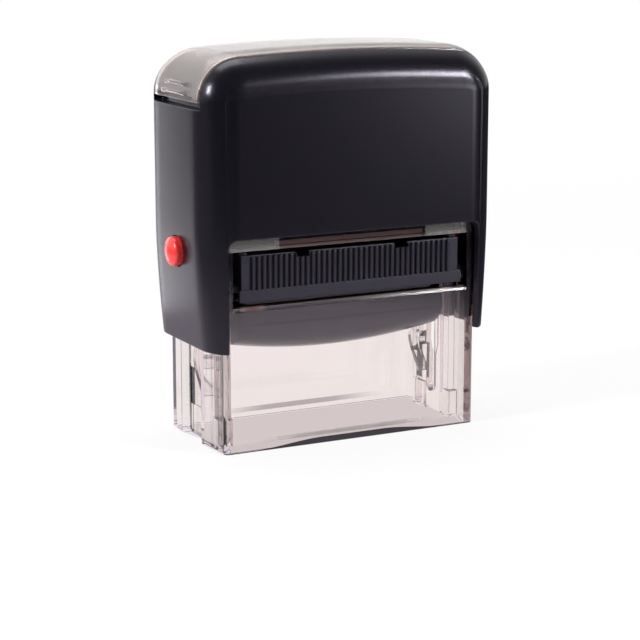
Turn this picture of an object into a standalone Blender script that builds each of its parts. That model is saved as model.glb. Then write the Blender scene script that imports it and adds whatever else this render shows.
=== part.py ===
"""Self-inking stamp: a black cap slides down over a clear base, and a die on a flipping holder turns
from its ink pad to the paper as it goes. Lengths below are in millimetres. The front faces -Y, and the
base stands on Z = 0."""

import math

import bmesh
import bpy
from mathutils import Matrix, Vector

MM = 0.001

# Clearances
SEAT_GAP = 0.3
RUN_GAP = 0.35
PIN_GAP = 0.1
PAD_GAP = 0.5
OVERLAP = 0.4
CUT_PAST = 2.0

# Die stack, measured up from the axle, and the axle's height at rest
DIE_LENGTH = 38.0
DIE_WIDTH = 14.0
RUBBER_THICK = 1.4
CUSHION_THICK = 0.8
HOLDER_CROWN = 2.2
HOLDER_BELLY = 7.3
HOLDER_RISE = 2.0
HOLDER_MARGIN = 1.2
HOLDER_SIDE = 0.6
DIE_FACE = HOLDER_CROWN + SEAT_GAP + CUSHION_THICK + SEAT_GAP + RUBBER_THICK
AXLE_Z = 22.5
TRAVEL = AXLE_Z - DIE_FACE

# Axle pins, cam pegs and their crank
PIN_R = 0.9
PEG_R = 0.8
CRANK_R = 3.4
PIN_DEPTH = 2.0
TRACK_WALL = 1.0

# Clear base
WALL = 1.5
SWEEP_GAP = 1.6
END_BULGE = 0.55
BASE_CORNER = 1.0
FRONT_WALL_RISE = 3.2
RIM_PROUD = 0.15
RIM_TALL = 1.2
RIM_SLOPE = 0.85
DECK_LIFT = 0.45
GROOVE_DEPTH = 1.8
GROOVE_GAP = 0.5
RIDGE_WALL = 1.4
RIDGE_MARGIN = 1.0
FUNNEL_HALF = 2.0
FUNNEL_RISE = 4.0
FUNNEL_LONG = 4.0
DECK_THICK = 2.2
POST_PROUD = 0.4
POST_SIDE = 2.6
POST_AHEAD = 1.2
POST_TALL = 5.4
BLOCK_LONG = 4.4
BLOCK_TALL = 5.2
RAIL_THICK = 1.2

# Ink cassette
PAD_TALL = 7.0
PAD_MARGIN = 0.6
FELT_THICK = 3.2
TRAY_WALL = 1.5
TRAY_FLANGE = 1.35
FLANGE_THICK = 1.0
FLANGE_LIFT = 0.2
GRIP_BAND = 2.1
GRIP_REACH = 0.45
GRIP_DROP = 1.5
GRIP_SHY = 0.95
GRIP_PLATE = 0.8
WELL_FLOOR = 0.8
RIB_COUNT = 38
RIB_SHARE = 0.6
RIB_MARGIN = 1.65
NICK_WIDE = 2.6
NICK_DEEP = 0.9
NICK_X = 9.7

# Bridge, return springs and cap
ARM_THICK = 1.3
ARM_HALF = 3.9
ARM_SHIFT = 1.7
BRIDGE_THICK = 1.5
BRIDGE_HALF_D = 5.5
BRIDGE_CORNER = 10.0
SPRING_X = 12.0
SPRING_R = 3.5
SPRING_WIRE = 0.8
SPRING_TURNS = 7
SPRING_SOLID = 8.7
SPRING_POST_GAP = 0.6
SPRING_POST_TALL = 3.0
CAP_WALL = 1.3
CAP_SIDE_GAP = 0.6
CAP_DEPTH_GAP = 0.75
CAP_TAPER = 1.2
CAP_TAPER_LONG = 20.0
CAP_CORNER = 8.0
CAP_SIDE_EDGE = 6.0
CAP_TOP_EDGE = 7.5
CAVITY_CORNER = 11.0
CAVITY_EDGE = 3.5
ARCH_R = 324.0
HEM_CLEAR = 0.5
NOTCH_INSET = 0.2
NOTCH_CORNER = 1.5
CROSSBAR_SHOWN = 2.3
CREASE_WIDE = 0.35
CREASE_DEEP = 0.6
CREASE_DROP = 3.4

# Index cover and card
COVER_THICK = 1.0
COVER_SET = 4.25
CARD_THICK = 0.25
CARD_GAP = 0.2
CARD_INSET = 0.5
LIP_DROP = 8.8
FINGER_GAP = 1.1
LIP_RIDGES = 2
LIP_RIDGE_STEP = 1.5
LIP_RIDGE_HALF = 4.4
LIP_RIDGE_OUT = 0.25

# Lock buttons
LOCK_RISE = 11.8
BUTTON_R = 2.6
BUTTON_PROUD = 1.8
BUTTON_DOME = 0.5
COLLAR_OUT = 0.7
COLLAR_THICK = 0.5
STEM_R = 1.1
LEAF_THICK = 0.2
LEAF_TALL = 7.0
LEAF_RIM = 0.95

# Heights and half widths that follow
HOLDER_HALF_L = DIE_LENGTH / 2 + HOLDER_MARGIN
HOLDER_HALF_W = DIE_WIDTH / 2 + HOLDER_SIDE
TRACK_IN = HOLDER_HALF_L + SEAT_GAP
FELT_HALF_L = DIE_LENGTH / 2 + PAD_MARGIN
FELT_HALF_W = DIE_WIDTH / 2 + PAD_MARGIN
TRAY_HALF_L = FELT_HALF_L + SEAT_GAP + TRAY_WALL
END_IN = TRAY_HALF_L + TRAY_FLANGE + 2 * SEAT_GAP
BASE_HALF_W = END_IN + WALL
BASE_HALF_D = math.hypot(DIE_WIDTH / 2, DIE_FACE) + SWEEP_GAP + WALL
END_OUT = BASE_HALF_W + END_BULGE
GROOVE_X = END_OUT - GROOVE_DEPTH
GROOVE_HALF = ARM_HALF + GROOVE_GAP
RIDGE_X = GROOVE_X - RIDGE_WALL
POST_X = RIDGE_X - POST_PROUD
TRACK_GAP = PEG_R + SEAT_GAP
RIDGE_HALF = CRANK_R + TRACK_GAP + TRACK_WALL + RIDGE_MARGIN
ARM_X = GROOVE_X + SEAT_GAP
ARM_OUT = ARM_X + ARM_THICK
SLOT_HALF = PIN_R + RUN_GAP
LOW_AXLE_Z = AXLE_Z - TRAVEL
FUNNEL_Z = LOW_AXLE_Z + FUNNEL_RISE
SPRING_POST = SPRING_R - SPRING_WIRE / 2 - SPRING_POST_GAP
FRONT_WALL_TOP = AXLE_Z + FRONT_WALL_RISE
PAD_Z = AXLE_Z + DIE_FACE + PAD_GAP
PAD_TOP = PAD_Z + PAD_TALL
WINDOW_TOP = PAD_TOP + SEAT_GAP
DECK_Z = WINDOW_TOP + DECK_LIFT
DECK_TOP = DECK_Z + DECK_THICK
BRIDGE_Z = DECK_TOP + TRAVEL + SPRING_SOLID
CAP_HALF_W = END_OUT + CAP_SIDE_GAP + CAP_WALL + CAP_TAPER
ROOF_DROP = (CAP_HALF_W - CAP_WALL - CAVITY_CORNER) ** 2 / (2 * ARCH_R)
ROOF_Z = BRIDGE_Z + BRIDGE_THICK + SEAT_GAP + ROOF_DROP
CHANNEL = COVER_THICK + CARD_GAP + CARD_THICK + SEAT_GAP
CAP_TOP = ROOF_Z + CAP_WALL + CHANNEL
CAP_HALF_D = BASE_HALF_D + CAP_DEPTH_GAP + CAP_WALL
COVER_HALF_D = CAP_HALF_D - COVER_SET
CREASE_TOP = CAP_TOP - CREASE_DROP
HEM_Z = TRAVEL + HEM_CLEAR
TAPER_TOP = HEM_Z + CAP_TAPER_LONG
NOTCH_HALF = BASE_HALF_W - NOTCH_INSET
NOTCH_TOP = WINDOW_TOP + CROSSBAR_SHOWN
LIP_Z = CAP_TOP - LIP_DROP
LOCK_Z = AXLE_Z + LOCK_RISE
LEAF_HALF = STEM_R + RUN_GAP + LEAF_RIM
TRAY_FRONT = -(BASE_HALF_D - GRIP_REACH)
TRAY_BACK = BASE_HALF_D - WALL - SEAT_GAP

SIDES = ((-1, "left"), (1, "right"))

# Colours as sRGB shares, with roughness and metallic values
BLACK = ((0.035, 0.034, 0.04), 0.45, 0.0, 1.0)
CLEAR = ((0.86, 0.81, 0.8), 0.08, 0.0, 0.35)
CARD_WHITE = ((0.93, 0.91, 0.9), 0.7, 0.0, 1.0)
RED = ((0.83, 0.03, 0.04), 0.3, 0.0, 1.0)
RUBBER_RED = ((0.42, 0.1, 0.09), 0.7, 0.0, 1.0)
FELT_RED = ((0.55, 0.04, 0.05), 0.95, 0.0, 1.0)
FOAM_GREY = ((0.3, 0.3, 0.31), 0.9, 0.0, 1.0)
STEEL = ((0.62, 0.62, 0.63), 0.3, 1.0, 1.0)


# Outlines

def arc(centre, radius, start, end, steps):
    """Points of an arc between two angles in degrees, both ends included."""
    angles = [math.radians(start + (end - start) * i / steps) for i in range(steps + 1)]
    return [(centre[0] + radius * math.cos(a), centre[1] + radius * math.sin(a)) for a in angles]


def box_outline(low, high):
    return [(low[0], low[1]), (high[0], low[1]), (high[0], high[1]), (low[0], high[1])]


def circle(centre, radius, steps=24):
    return arc(centre, radius, 0, 360, steps)[:-1]


def mirrored(half):
    """A closed outline from its right half, which runs from the foot up to the middle."""
    return half + [(-x, z) for x, z in reversed(half) if x > 0]


def span(side, near, far):
    """Two places along X at one end, in rising order."""
    return sorted((side * near, side * far))


def taper(z):
    """How far the cap's sides draw in at a height."""
    return CAP_TAPER * (max(0.0, TAPER_TOP - z) / CAP_TAPER_LONG) ** 1.6


def rounding(y, half_depth, edge):
    """How far a rounded front or back edge has drawn a surface in at a depth."""
    past = max(0.0, abs(y) - (half_depth - edge))
    return edge - math.sqrt(edge ** 2 - past ** 2)


def arch_half(half_width, crown, corner, foot, side_in, top_in, side_steps=4, corner_steps=6, crown_steps=5):
    """Right half of an arched outline: tapered side, round corner and shallow crown, each drawn in."""
    hub_x = half_width - corner
    hub_z = crown - hub_x ** 2 / (2 * ARCH_R) - corner
    lifts = [foot + (hub_z - foot) * i / side_steps for i in range(side_steps)]
    points = [(half_width - side_in - taper(z), z) for z in lifts]
    for i in range(corner_steps + 1):
        turn = math.pi / 2 * i / corner_steps
        points.append((hub_x + (corner - side_in) * math.cos(turn),
                       hub_z + (corner - top_in) * math.sin(turn)))
    for i in range(1, crown_steps + 1):
        x = hub_x * (1 - i / crown_steps)
        points.append((x, crown - top_in - x ** 2 / (2 * ARCH_R)))
    return points


def cap_half(foot, y, inset=0.0, **steps):
    """Right half of the cap's outline at a depth, drawn in by an inset."""
    side_in = inset + rounding(y, CAP_HALF_D, CAP_SIDE_EDGE)
    top_in = inset + rounding(y, CAP_HALF_D, CAP_TOP_EDGE)
    return arch_half(CAP_HALF_W, CAP_TOP, CAP_CORNER, foot, side_in, top_in, **steps)


def strip(foot, y, outer, inner):
    """Outline of a strip that follows the cap's outline between two insets, from end to end."""
    out = mirrored(cap_half(foot, y, outer, side_steps=1))
    back = mirrored(cap_half(foot, y, inner, side_steps=1))
    return out + back[::-1]


def depths(reach, flat, steps=4):
    """Places along Y from front to back: close together past the flat middle, where a surface rounds off."""
    front = [-flat - (reach - flat) * math.sin(math.pi / 2 * i / steps) for i in range(steps, -1, -1)]
    return front + [-y for y in reversed(front)]


def cover_depths(reach):
    return depths(reach, CAP_HALF_D - CAP_TOP_EDGE, 3)


def base_plan():
    """The base seen from above: flat front and back, end walls that bow out."""
    reach = BASE_HALF_D - BASE_CORNER
    points = arc((BASE_HALF_W - BASE_CORNER, -reach), BASE_CORNER, -90, 0, 3)
    for i in range(1, 10):
        y = reach * (i / 5 - 1)
        points.append((BASE_HALF_W + END_BULGE * (1 - (y / reach) ** 2), y))
    points += arc((BASE_HALF_W - BASE_CORNER, reach), BASE_CORNER, 0, 90, 3)
    return points + [(-x, y) for x, y in reversed(points)]


def cam_path(share):
    """Centre of the cam peg in Y and Z at a share of the cap's travel, with the path's unit normal."""
    turn = math.pi * share
    y = CRANK_R * math.sin(turn)
    z = AXLE_Z - TRAVEL * share - CRANK_R * math.cos(turn)
    slope_y = CRANK_R * math.pi * math.cos(turn)
    slope_z = -TRAVEL + CRANK_R * math.pi * math.sin(turn)
    size = math.hypot(slope_y, slope_z)
    return (y, z), (-slope_z / size, slope_y / size)


def cam_offset(distance, steps=16):
    points = []
    for i in range(steps + 1):
        (y, z), (normal_y, normal_z) = cam_path(i / steps)
        points.append((y + distance * normal_y, z + distance * normal_z))
    return points


# Solids

def new_object(name, mesh_maker):
    mesh = bpy.data.meshes.new(name)
    shape = bmesh.new()
    mesh_maker(shape)
    bmesh.ops.recalc_face_normals(shape, faces=shape.faces)
    shape.to_mesh(mesh)
    shape.free()
    piece = bpy.data.objects.new(name, mesh)
    bpy.context.scene.collection.objects.link(piece)
    return piece


def spot(axis, along, point):
    """A point from its place along an axis and its two other coordinates, in X, Y, Z order."""
    u, v = point
    return Vector({"X": (along, u, v), "Y": (u, along, v), "Z": (u, v, along)}[axis]) * MM


def loft(name, axis, sections):
    """Closed skin through outlines of equal count, each at its place along the axis."""
    def make(shape):
        rings = [[shape.verts.new(spot(axis, along, p)) for p in outline] for along, outline in sections]
        for lower, upper in zip(rings, rings[1:]):
            for i, corner in enumerate(lower):
                j = (i + 1) % len(lower)
                shape.faces.new((corner, lower[j], upper[j], upper[i]))
        shape.faces.new(rings[0])
        shape.faces.new(rings[-1])
    return new_object(name, make)


def prism(name, axis, outline, low, high):
    return loft(name, axis, [(low, outline), (high, outline)])


def box(name, low, high):
    return prism(name, "Z", box_outline(low, high), low[2], high[2])


def turned(name, profile, steps=32):
    """A solid of revolution about X, from (place along X, radius) pairs, first and last on the axis."""
    def make(shape):
        first, last = [shape.verts.new(Vector((x, 0, 0)) * MM) for x in (profile[0][0], profile[-1][0])]
        rings = [[shape.verts.new(spot("X", x, p)) for p in circle((0, 0), r, steps)]
                 for x, r in profile[1:-1]]
        for i in range(steps):
            j = (i + 1) % steps
            shape.faces.new((first, rings[0][i], rings[0][j]))
            for lower, upper in zip(rings, rings[1:]):
                shape.faces.new((lower[i], upper[i], upper[j], lower[j]))
            shape.faces.new((last, rings[-1][j], rings[-1][i]))
    return new_object(name, make)


def combine(target, tool, operation):
    modifier = target.modifiers.new(tool.name, "BOOLEAN")
    modifier.operation = operation
    modifier.object = tool
    modifier.solver = "EXACT"
    tool.hide_render = True
    tool.display_type = "WIRE"


def cut(target, *tools):
    for tool in tools:
        combine(target, tool, "DIFFERENCE")


def add(target, *tools):
    for tool in tools:
        combine(target, tool, "UNION")


def finish(piece, material_name, look, pivot=None):
    """Gives a piece its material, smooth round faces and the empty that it moves with."""
    colour, roughness, metallic, alpha = look
    material = bpy.data.materials.get(material_name) or bpy.data.materials.new(material_name)
    material.use_nodes = True
    shader = material.node_tree.nodes["Principled BSDF"]
    shader.inputs["Base Color"].default_value = (*colour, 1)
    shader.inputs["Roughness"].default_value = roughness
    shader.inputs["Metallic"].default_value = metallic
    shader.inputs["Alpha"].default_value = alpha
    piece.data.materials.append(material)
    if piece.type == "MESH":
        piece.data.shade_smooth()
        piece.data.set_sharp_from_angle(angle=math.radians(35))
    if pivot:
        piece.data.transform(Matrix.Translation(-pivot.location))
        piece.parent = pivot
    return piece


def pivot_at(name, point):
    """An empty on a joint's axis, which carries the pieces that move on it."""
    empty = bpy.data.objects.new(name, None)
    empty.location = Vector(point) * MM
    bpy.context.scene.collection.objects.link(empty)
    return empty


# Pieces

def make_base():
    """The clear base: a hollow box with a foot rim along its front and back, a window for the ink cassette
    and a deck that carries the return springs."""
    inner_d = BASE_HALF_D - WALL
    rim = inner_d - RIM_PROUD
    base = prism("base_frame", "Z", base_plan(), 0, DECK_TOP)
    hollow = mirrored([(rim, -CUT_PAST), (rim, RIM_TALL), (inner_d, RIM_TALL + RIM_SLOPE),
                       (inner_d, DECK_Z)])
    cut(base, prism("base_hollow", "X", hollow, -END_IN, END_IN))
    window_half = END_IN - SEAT_GAP
    cut(base, box("pad_window", (-window_half, -BASE_HALF_D - CUT_PAST, FRONT_WALL_TOP),
                  (window_half, -inner_d + OVERLAP, WINDOW_TOP)))
    for side, tag in SIDES:
        add_base_end(base, side, tag)
        cut_base_end(base, side, tag)
    return finish(base, "clear_styrene", CLEAR)


def end_box(name, side, near, far, low, high):
    """A box at one end of the base: near and far along X, low and high as (Y, Z) pairs."""
    x0, x1 = span(side, near, far)
    return box(name, (x0, *low), (x1, *high))


def add_base_end(base, side, tag):
    """The ridge behind the groove and its thin top, the pad rail, the foot posts, the cam track and the
    spring's post."""
    inner_d = BASE_HALF_D - WALL
    rooted = END_IN + OVERLAP
    rail_top = PAD_Z + FLANGE_LIFT - SEAT_GAP
    add(base, end_box(f"ridge_{tag}", side, RIDGE_X, rooted, (-RIDGE_HALF, OVERLAP),
                      (RIDGE_HALF, FRONT_WALL_TOP)))
    add(base, end_box(f"ridge_top_{tag}", side, END_IN - SEAT_GAP, rooted,
                      (-RIDGE_HALF, FRONT_WALL_TOP - OVERLAP), (RIDGE_HALF, DECK_Z + OVERLAP)))
    add(base, end_box(f"rail_{tag}", side, TRAY_HALF_L - SEAT_GAP, rooted,
                      (-inner_d + SEAT_GAP, rail_top - RAIL_THICK), (inner_d + OVERLAP, rail_top)))
    post_front = -RIDGE_HALF - POST_AHEAD
    add(base, end_box(f"front_post_{tag}", side, POST_X, rooted, (post_front, OVERLAP / 2),
                      (post_front + POST_SIDE, POST_TALL)))
    block_front = SLOT_HALF + OVERLAP / 2
    add(base, end_box(f"back_block_{tag}", side, POST_X, rooted, (block_front, OVERLAP / 2),
                      (block_front + BLOCK_LONG, BLOCK_TALL)))
    track = span(side, TRACK_IN, RIDGE_X + OVERLAP)
    outer_wall = cam_offset(TRACK_GAP) + cam_offset(TRACK_GAP + TRACK_WALL)[::-1]
    add(base, prism(f"cam_wall_{tag}", "X", outer_wall, *track))
    island = [point for point in cam_offset(-TRACK_GAP, 32) if point[0] > SLOT_HALF + OVERLAP / 2]
    island += [(0, island[-1][1]), (0, island[0][1])]
    add(base, prism(f"cam_island_{tag}", "X", island, *track))
    add(base, prism(f"spring_post_{tag}", "Z", circle((side * SPRING_X, 0), SPRING_POST),
                    DECK_TOP - OVERLAP, DECK_TOP + SPRING_POST_TALL))


def cut_base_end(base, side, tag):
    """The groove for the bridge's arm, the axle's slot with its funnel, and the lock hole."""
    past = END_OUT + CUT_PAST
    cut(base, end_box(f"groove_{tag}", side, GROOVE_X, past, (ARM_SHIFT - GROOVE_HALF, -CUT_PAST),
                      (ARM_SHIFT + GROOVE_HALF, DECK_TOP + CUT_PAST)))
    slot = arc((0, LOW_AXLE_Z), SLOT_HALF, 180, 360, 8) + arc((0, AXLE_Z), SLOT_HALF, 0, 180, 8)
    cut(base, prism(f"axle_slot_{tag}", "X", slot, *span(side, TRACK_IN - CUT_PAST, past)))
    mouth = FUNNEL_Z + FUNNEL_LONG
    funnel = mirrored([(SLOT_HALF / 2, FUNNEL_Z), (FUNNEL_HALF, mouth), (FUNNEL_HALF, AXLE_Z)])
    cut(base, prism(f"funnel_{tag}", "X", funnel, *span(side, GROOVE_X - RIDGE_WALL / 2, past)))
    cut(base, prism(f"lock_hole_{tag}", "X", circle((0, LOCK_Z), STEM_R + RUN_GAP),
                    *span(side, END_IN - OVERLAP, END_OUT)))


def make_cap(pivot):
    cap = loft("cap_shell", "Y", [(y, mirrored(cap_half(HEM_Z, y)))
                                  for y in depths(CAP_HALF_D, CAP_HALF_D - CAP_TOP_EDGE, 6)])
    cut(cap, make_cap_hollow())
    notch_hub = (NOTCH_HALF - NOTCH_CORNER, NOTCH_TOP - NOTCH_CORNER)
    notch = mirrored([(NOTCH_HALF, HEM_Z - CUT_PAST)] + arc(notch_hub, NOTCH_CORNER, 0, 90, 5))
    cut(cap, prism("front_notch", "Y", notch, -CAP_HALF_D - CUT_PAST, -BASE_HALF_D + OVERLAP))
    cut(cap, loft("cover_channel", "Y", [(y, strip(LIP_Z - FINGER_GAP, y, -CUT_PAST, CHANNEL))
                                         for y in cover_depths(COVER_HALF_D + SEAT_GAP)]))
    for side, tag in SIDES:
        low, high = span(side, NOTCH_HALF, NOTCH_HALF - CREASE_WIDE)
        cut(cap, box(f"crease_{tag}", (low, -CAP_HALF_D - CUT_PAST, NOTCH_TOP + NOTCH_CORNER),
                     (high, -CAP_HALF_D + CREASE_DEEP, CREASE_TOP)))
        cut(cap, prism(f"button_hole_{tag}", "X", circle((0, LOCK_Z), BUTTON_R + RUN_GAP),
                       *span(side, ARM_OUT, CAP_HALF_W + CUT_PAST)))
    return finish(cap, "black_abs", BLACK, pivot)


def make_cap_hollow():
    half_depth = CAP_HALF_D - CAP_WALL
    sections = []
    for y in depths(half_depth, half_depth - CAVITY_EDGE):
        inset = rounding(y, half_depth, CAVITY_EDGE)
        half = arch_half(CAP_HALF_W - CAP_WALL, ROOF_Z, CAVITY_CORNER, HEM_Z - CUT_PAST, inset, inset)
        sections.append((y, mirrored(half)))
    return loft("cap_hollow", "Y", sections)


def make_cover(pivot):
    cover = loft("index_cover", "Y", [(y, strip(LIP_Z, y, 0, COVER_THICK))
                                      for y in cover_depths(COVER_HALF_D)])
    for side, tag in SIDES:
        for i in range(LIP_RIDGES):
            low = LIP_Z + LIP_RIDGE_STEP * (i + 0.6)
            x0, x1 = span(side, cover_side(low) - OVERLAP, cover_side(low) + LIP_RIDGE_OUT)
            add(cover, box(f"lip_ridge_{tag}_{i}", (x0, -LIP_RIDGE_HALF, low),
                           (x1, LIP_RIDGE_HALF, low + LIP_RIDGE_STEP / 2)))
    return finish(cover, "clear_cover", CLEAR, pivot)


def cover_side(z):
    """Half width of the cap's rounded end at a height on the cover's lip."""
    hub_x = CAP_HALF_W - CAP_CORNER
    hub_z = CAP_TOP - hub_x ** 2 / (2 * ARCH_R) - CAP_CORNER
    return hub_x + math.sqrt(CAP_CORNER ** 2 - max(0.0, z - hub_z) ** 2)


def make_card(pivot):
    """A paper label between the cover and the channel's floor, bowed with both."""
    reach = CAP_HALF_W - CAP_CORNER - CARD_INSET
    xs = [reach * (1 - i / 6) for i in range(13)]
    sections = []
    for y in cover_depths(COVER_HALF_D - CARD_INSET):
        top = CAP_TOP - rounding(y, CAP_HALF_D, CAP_TOP_EDGE) - COVER_THICK - CARD_GAP
        upper = [(x, top - x ** 2 / (2 * ARCH_R)) for x in xs]
        lower = [(x, z - CARD_THICK) for x, z in reversed(upper)]
        sections.append((y, upper + lower))
    return finish(loft("index_card", "Y", sections), "white_card", CARD_WHITE, pivot)


def make_bridge(pivot):
    foot = AXLE_Z - ARM_HALF
    top = BRIDGE_Z + BRIDGE_THICK
    hub = (ARM_OUT - BRIDGE_CORNER, top - BRIDGE_CORNER)
    outer = [(ARM_OUT, foot)] + arc(hub, BRIDGE_CORNER, 0, 90, 8)
    inner = [(ARM_X, foot)] + arc(hub, BRIDGE_CORNER - ARM_THICK, 0, 70, 6)
    inner.append((hub[0], BRIDGE_Z))
    right = mirrored(outer) + mirrored(inner)[::-1]
    bridge = prism("bridge", "Y", right, ARM_SHIFT - ARM_HALF, ARM_SHIFT + ARM_HALF)
    shelf_half = SPRING_X + SPRING_R + SPRING_WIRE + SEAT_GAP
    add(bridge, box("spring_shelf", (-shelf_half, -BRIDGE_HALF_D, BRIDGE_Z + OVERLAP / 4),
                    (shelf_half, BRIDGE_HALF_D, top - OVERLAP / 4)))
    for side, tag in SIDES:
        add(bridge, prism(f"shelf_post_{tag}", "Z", circle((side * SPRING_X, 0), SPRING_POST),
                          BRIDGE_Z - SPRING_POST_TALL / 2, BRIDGE_Z + BRIDGE_THICK / 2))
        reach = span(side, ARM_X - CUT_PAST, ARM_OUT + CUT_PAST)
        cut(bridge, prism(f"axle_bore_{tag}", "X", circle((0, AXLE_Z), PIN_R + PIN_GAP), *reach))
        cut(bridge, prism(f"stem_bore_{tag}", "X", circle((0, LOCK_Z), STEM_R + RUN_GAP / 2), *reach))
    return finish(bridge, "black_abs", BLACK, pivot)


def make_axle_pins(pivot):
    for side, tag in SIDES:
        reach = span(side, HOLDER_HALF_L - PIN_DEPTH, ARM_OUT)
        finish(prism(f"axle_pin_{tag}", "X", circle((0, AXLE_Z), PIN_R), *reach), "steel_pin", STEEL, pivot)


def make_lock_buttons(pivot_cap):
    face = CAP_HALF_W - taper(LOCK_Z)
    inside = face - CAP_WALL - SEAT_GAP
    tip = GROOVE_X + RUN_GAP + PIN_GAP
    proud = face + BUTTON_PROUD
    dome = [(proud - BUTTON_DOME * (1 - math.cos(a)), BUTTON_R * math.sin(a) * 0.86)
            for a in (math.radians(30), math.radians(60))]
    profile = [(proud, 0)] + dome + [(proud - BUTTON_DOME, BUTTON_R), (inside, BUTTON_R)]
    profile += [(inside, BUTTON_R + COLLAR_OUT), (inside - COLLAR_THICK, BUTTON_R + COLLAR_OUT)]
    profile += [(inside - COLLAR_THICK, STEM_R), (tip, STEM_R), (tip, 0)]
    for side, tag in SIDES:
        button = turned(f"lock_button_{tag}", [(side * x, r) for x, r in profile])
        button.data.transform(Matrix.Translation((0, 0, LOCK_Z * MM)))
        finish(button, "red_abs", RED, pivot_at(f"lock_{tag}", (side * face, 0, LOCK_Z)))
        make_lock_spring(side, tag, inside - COLLAR_THICK, pivot_cap)


def make_lock_spring(side, tag, collar, pivot):
    """A bowed leaf between the bridge's arm and the button's collar, with a hole for the stem."""
    bow = collar - PIN_GAP - ARM_OUT - PIN_GAP - LEAF_THICK
    outer, inner = [], []
    for i in range(13):
        share = i / 6 - 1
        x = ARM_OUT + PIN_GAP + bow * (1 - share ** 2)
        outer.append((side * (x + LEAF_THICK), LOCK_Z + share * LEAF_TALL / 2))
        inner.append((side * x, LOCK_Z + share * LEAF_TALL / 2))
    leaf = prism(f"lock_spring_{tag}", "Y", outer + inner[::-1], -LEAF_HALF, LEAF_HALF)
    reach = span(side, ARM_OUT - CUT_PAST, collar + CUT_PAST)
    cut(leaf, prism(f"leaf_hole_{tag}", "X", circle((0, LOCK_Z), STEM_R + RUN_GAP), *reach))
    finish(leaf, "spring_steel", STEEL, pivot)


def make_return_springs():
    low = DECK_TOP + SEAT_GAP + SPRING_WIRE / 2
    high = BRIDGE_Z - SEAT_GAP - SPRING_WIRE / 2
    per_turn = 10
    steps = SPRING_TURNS * per_turn
    for side, tag in SIDES:
        curve = bpy.data.curves.new(f"return_spring_{tag}", "CURVE")
        curve.dimensions = "3D"
        curve.bevel_depth = SPRING_WIRE / 2 * MM
        curve.bevel_resolution = 1
        curve.use_fill_caps = True
        coil = curve.splines.new("POLY")
        coil.points.add(steps)
        for i, point in enumerate(coil.points):
            turn = 2 * math.pi * i / per_turn
            place = Vector((side * SPRING_X + SPRING_R * math.cos(turn), SPRING_R * math.sin(turn),
                            low + (high - low) * i / steps))
            point.co = (*(place * MM), 1)
        spring = bpy.data.objects.new(curve.name, curve)
        bpy.context.scene.collection.objects.link(spring)
        finish(spring, "spring_steel", STEEL)
    print(f"return springs: least gap between turns {(high - low) / SPRING_TURNS - SPRING_WIRE:.2f} mm")


def holder_section(x):
    """The bellied holder's section in Y and Z at a place along it."""
    belly = HOLDER_BELLY - HOLDER_RISE * (x / HOLDER_HALF_L) ** 2
    shoulder = HOLDER_CROWN / 2
    points = [(-HOLDER_HALF_W, HOLDER_CROWN), (HOLDER_HALF_W, HOLDER_CROWN)]
    for i in range(13):
        turn = math.pi * i / 12
        points.append((HOLDER_HALF_W * math.cos(turn), -shoulder - (belly - shoulder) * math.sin(turn)))
    return [(y, z + AXLE_Z) for y, z in points]


def make_die(pivot):
    stations = [HOLDER_HALF_L * (i / 6 - 1) for i in range(13)]
    holder = loft("die_holder", "X", [(x, holder_section(x)) for x in stations])
    for side, tag in SIDES:
        near = HOLDER_HALF_L - PIN_DEPTH
        bore = span(side, near - SEAT_GAP, HOLDER_HALF_L + CUT_PAST)
        cut(holder, prism(f"holder_bore_{tag}", "X", circle((0, AXLE_Z), PIN_R + PIN_GAP), *bore))
        cut(holder, prism(f"peg_bore_{tag}", "X", circle((0, AXLE_Z - CRANK_R), PEG_R + PIN_GAP), *bore))
        reach = span(side, near, RIDGE_X - SEAT_GAP)
        peg = prism(f"cam_peg_{tag}", "X", circle((0, AXLE_Z - CRANK_R), PEG_R), *reach)
        finish(peg, "steel_pin", STEEL, pivot)
    finish(holder, "black_abs", BLACK, pivot)
    half = (DIE_LENGTH / 2, DIE_WIDTH / 2)
    cushion_z = AXLE_Z + HOLDER_CROWN + SEAT_GAP
    rubber_z = cushion_z + CUSHION_THICK + SEAT_GAP
    cushion = box("die_cushion", (-half[0], -half[1], cushion_z), (*half, cushion_z + CUSHION_THICK))
    finish(cushion, "foam_tape", FOAM_GREY, pivot)
    rubber = box("rubber_die", (-half[0], -half[1], rubber_z), (*half, rubber_z + RUBBER_THICK))
    finish(rubber, "red_rubber", RUBBER_RED, pivot)


def grip_comb():
    """Plan of the ribbed grip: a comb whose teeth stand out from the tray's front."""
    half = TRAY_HALF_L - RIB_MARGIN
    pitch = 2 * half / RIB_COUNT
    front = TRAY_FRONT - GRIP_REACH
    valley = TRAY_FRONT - GRIP_REACH / 8
    points = [(-half, TRAY_FRONT + OVERLAP)]
    for i in range(RIB_COUNT):
        low = -half + pitch * (i + (1 - RIB_SHARE) / 2)
        high = low + pitch * RIB_SHARE
        points += [(low, valley), (low, front), (high, front), (high, valley)]
    points.append((half, TRAY_FRONT + OVERLAP))
    return points


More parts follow.
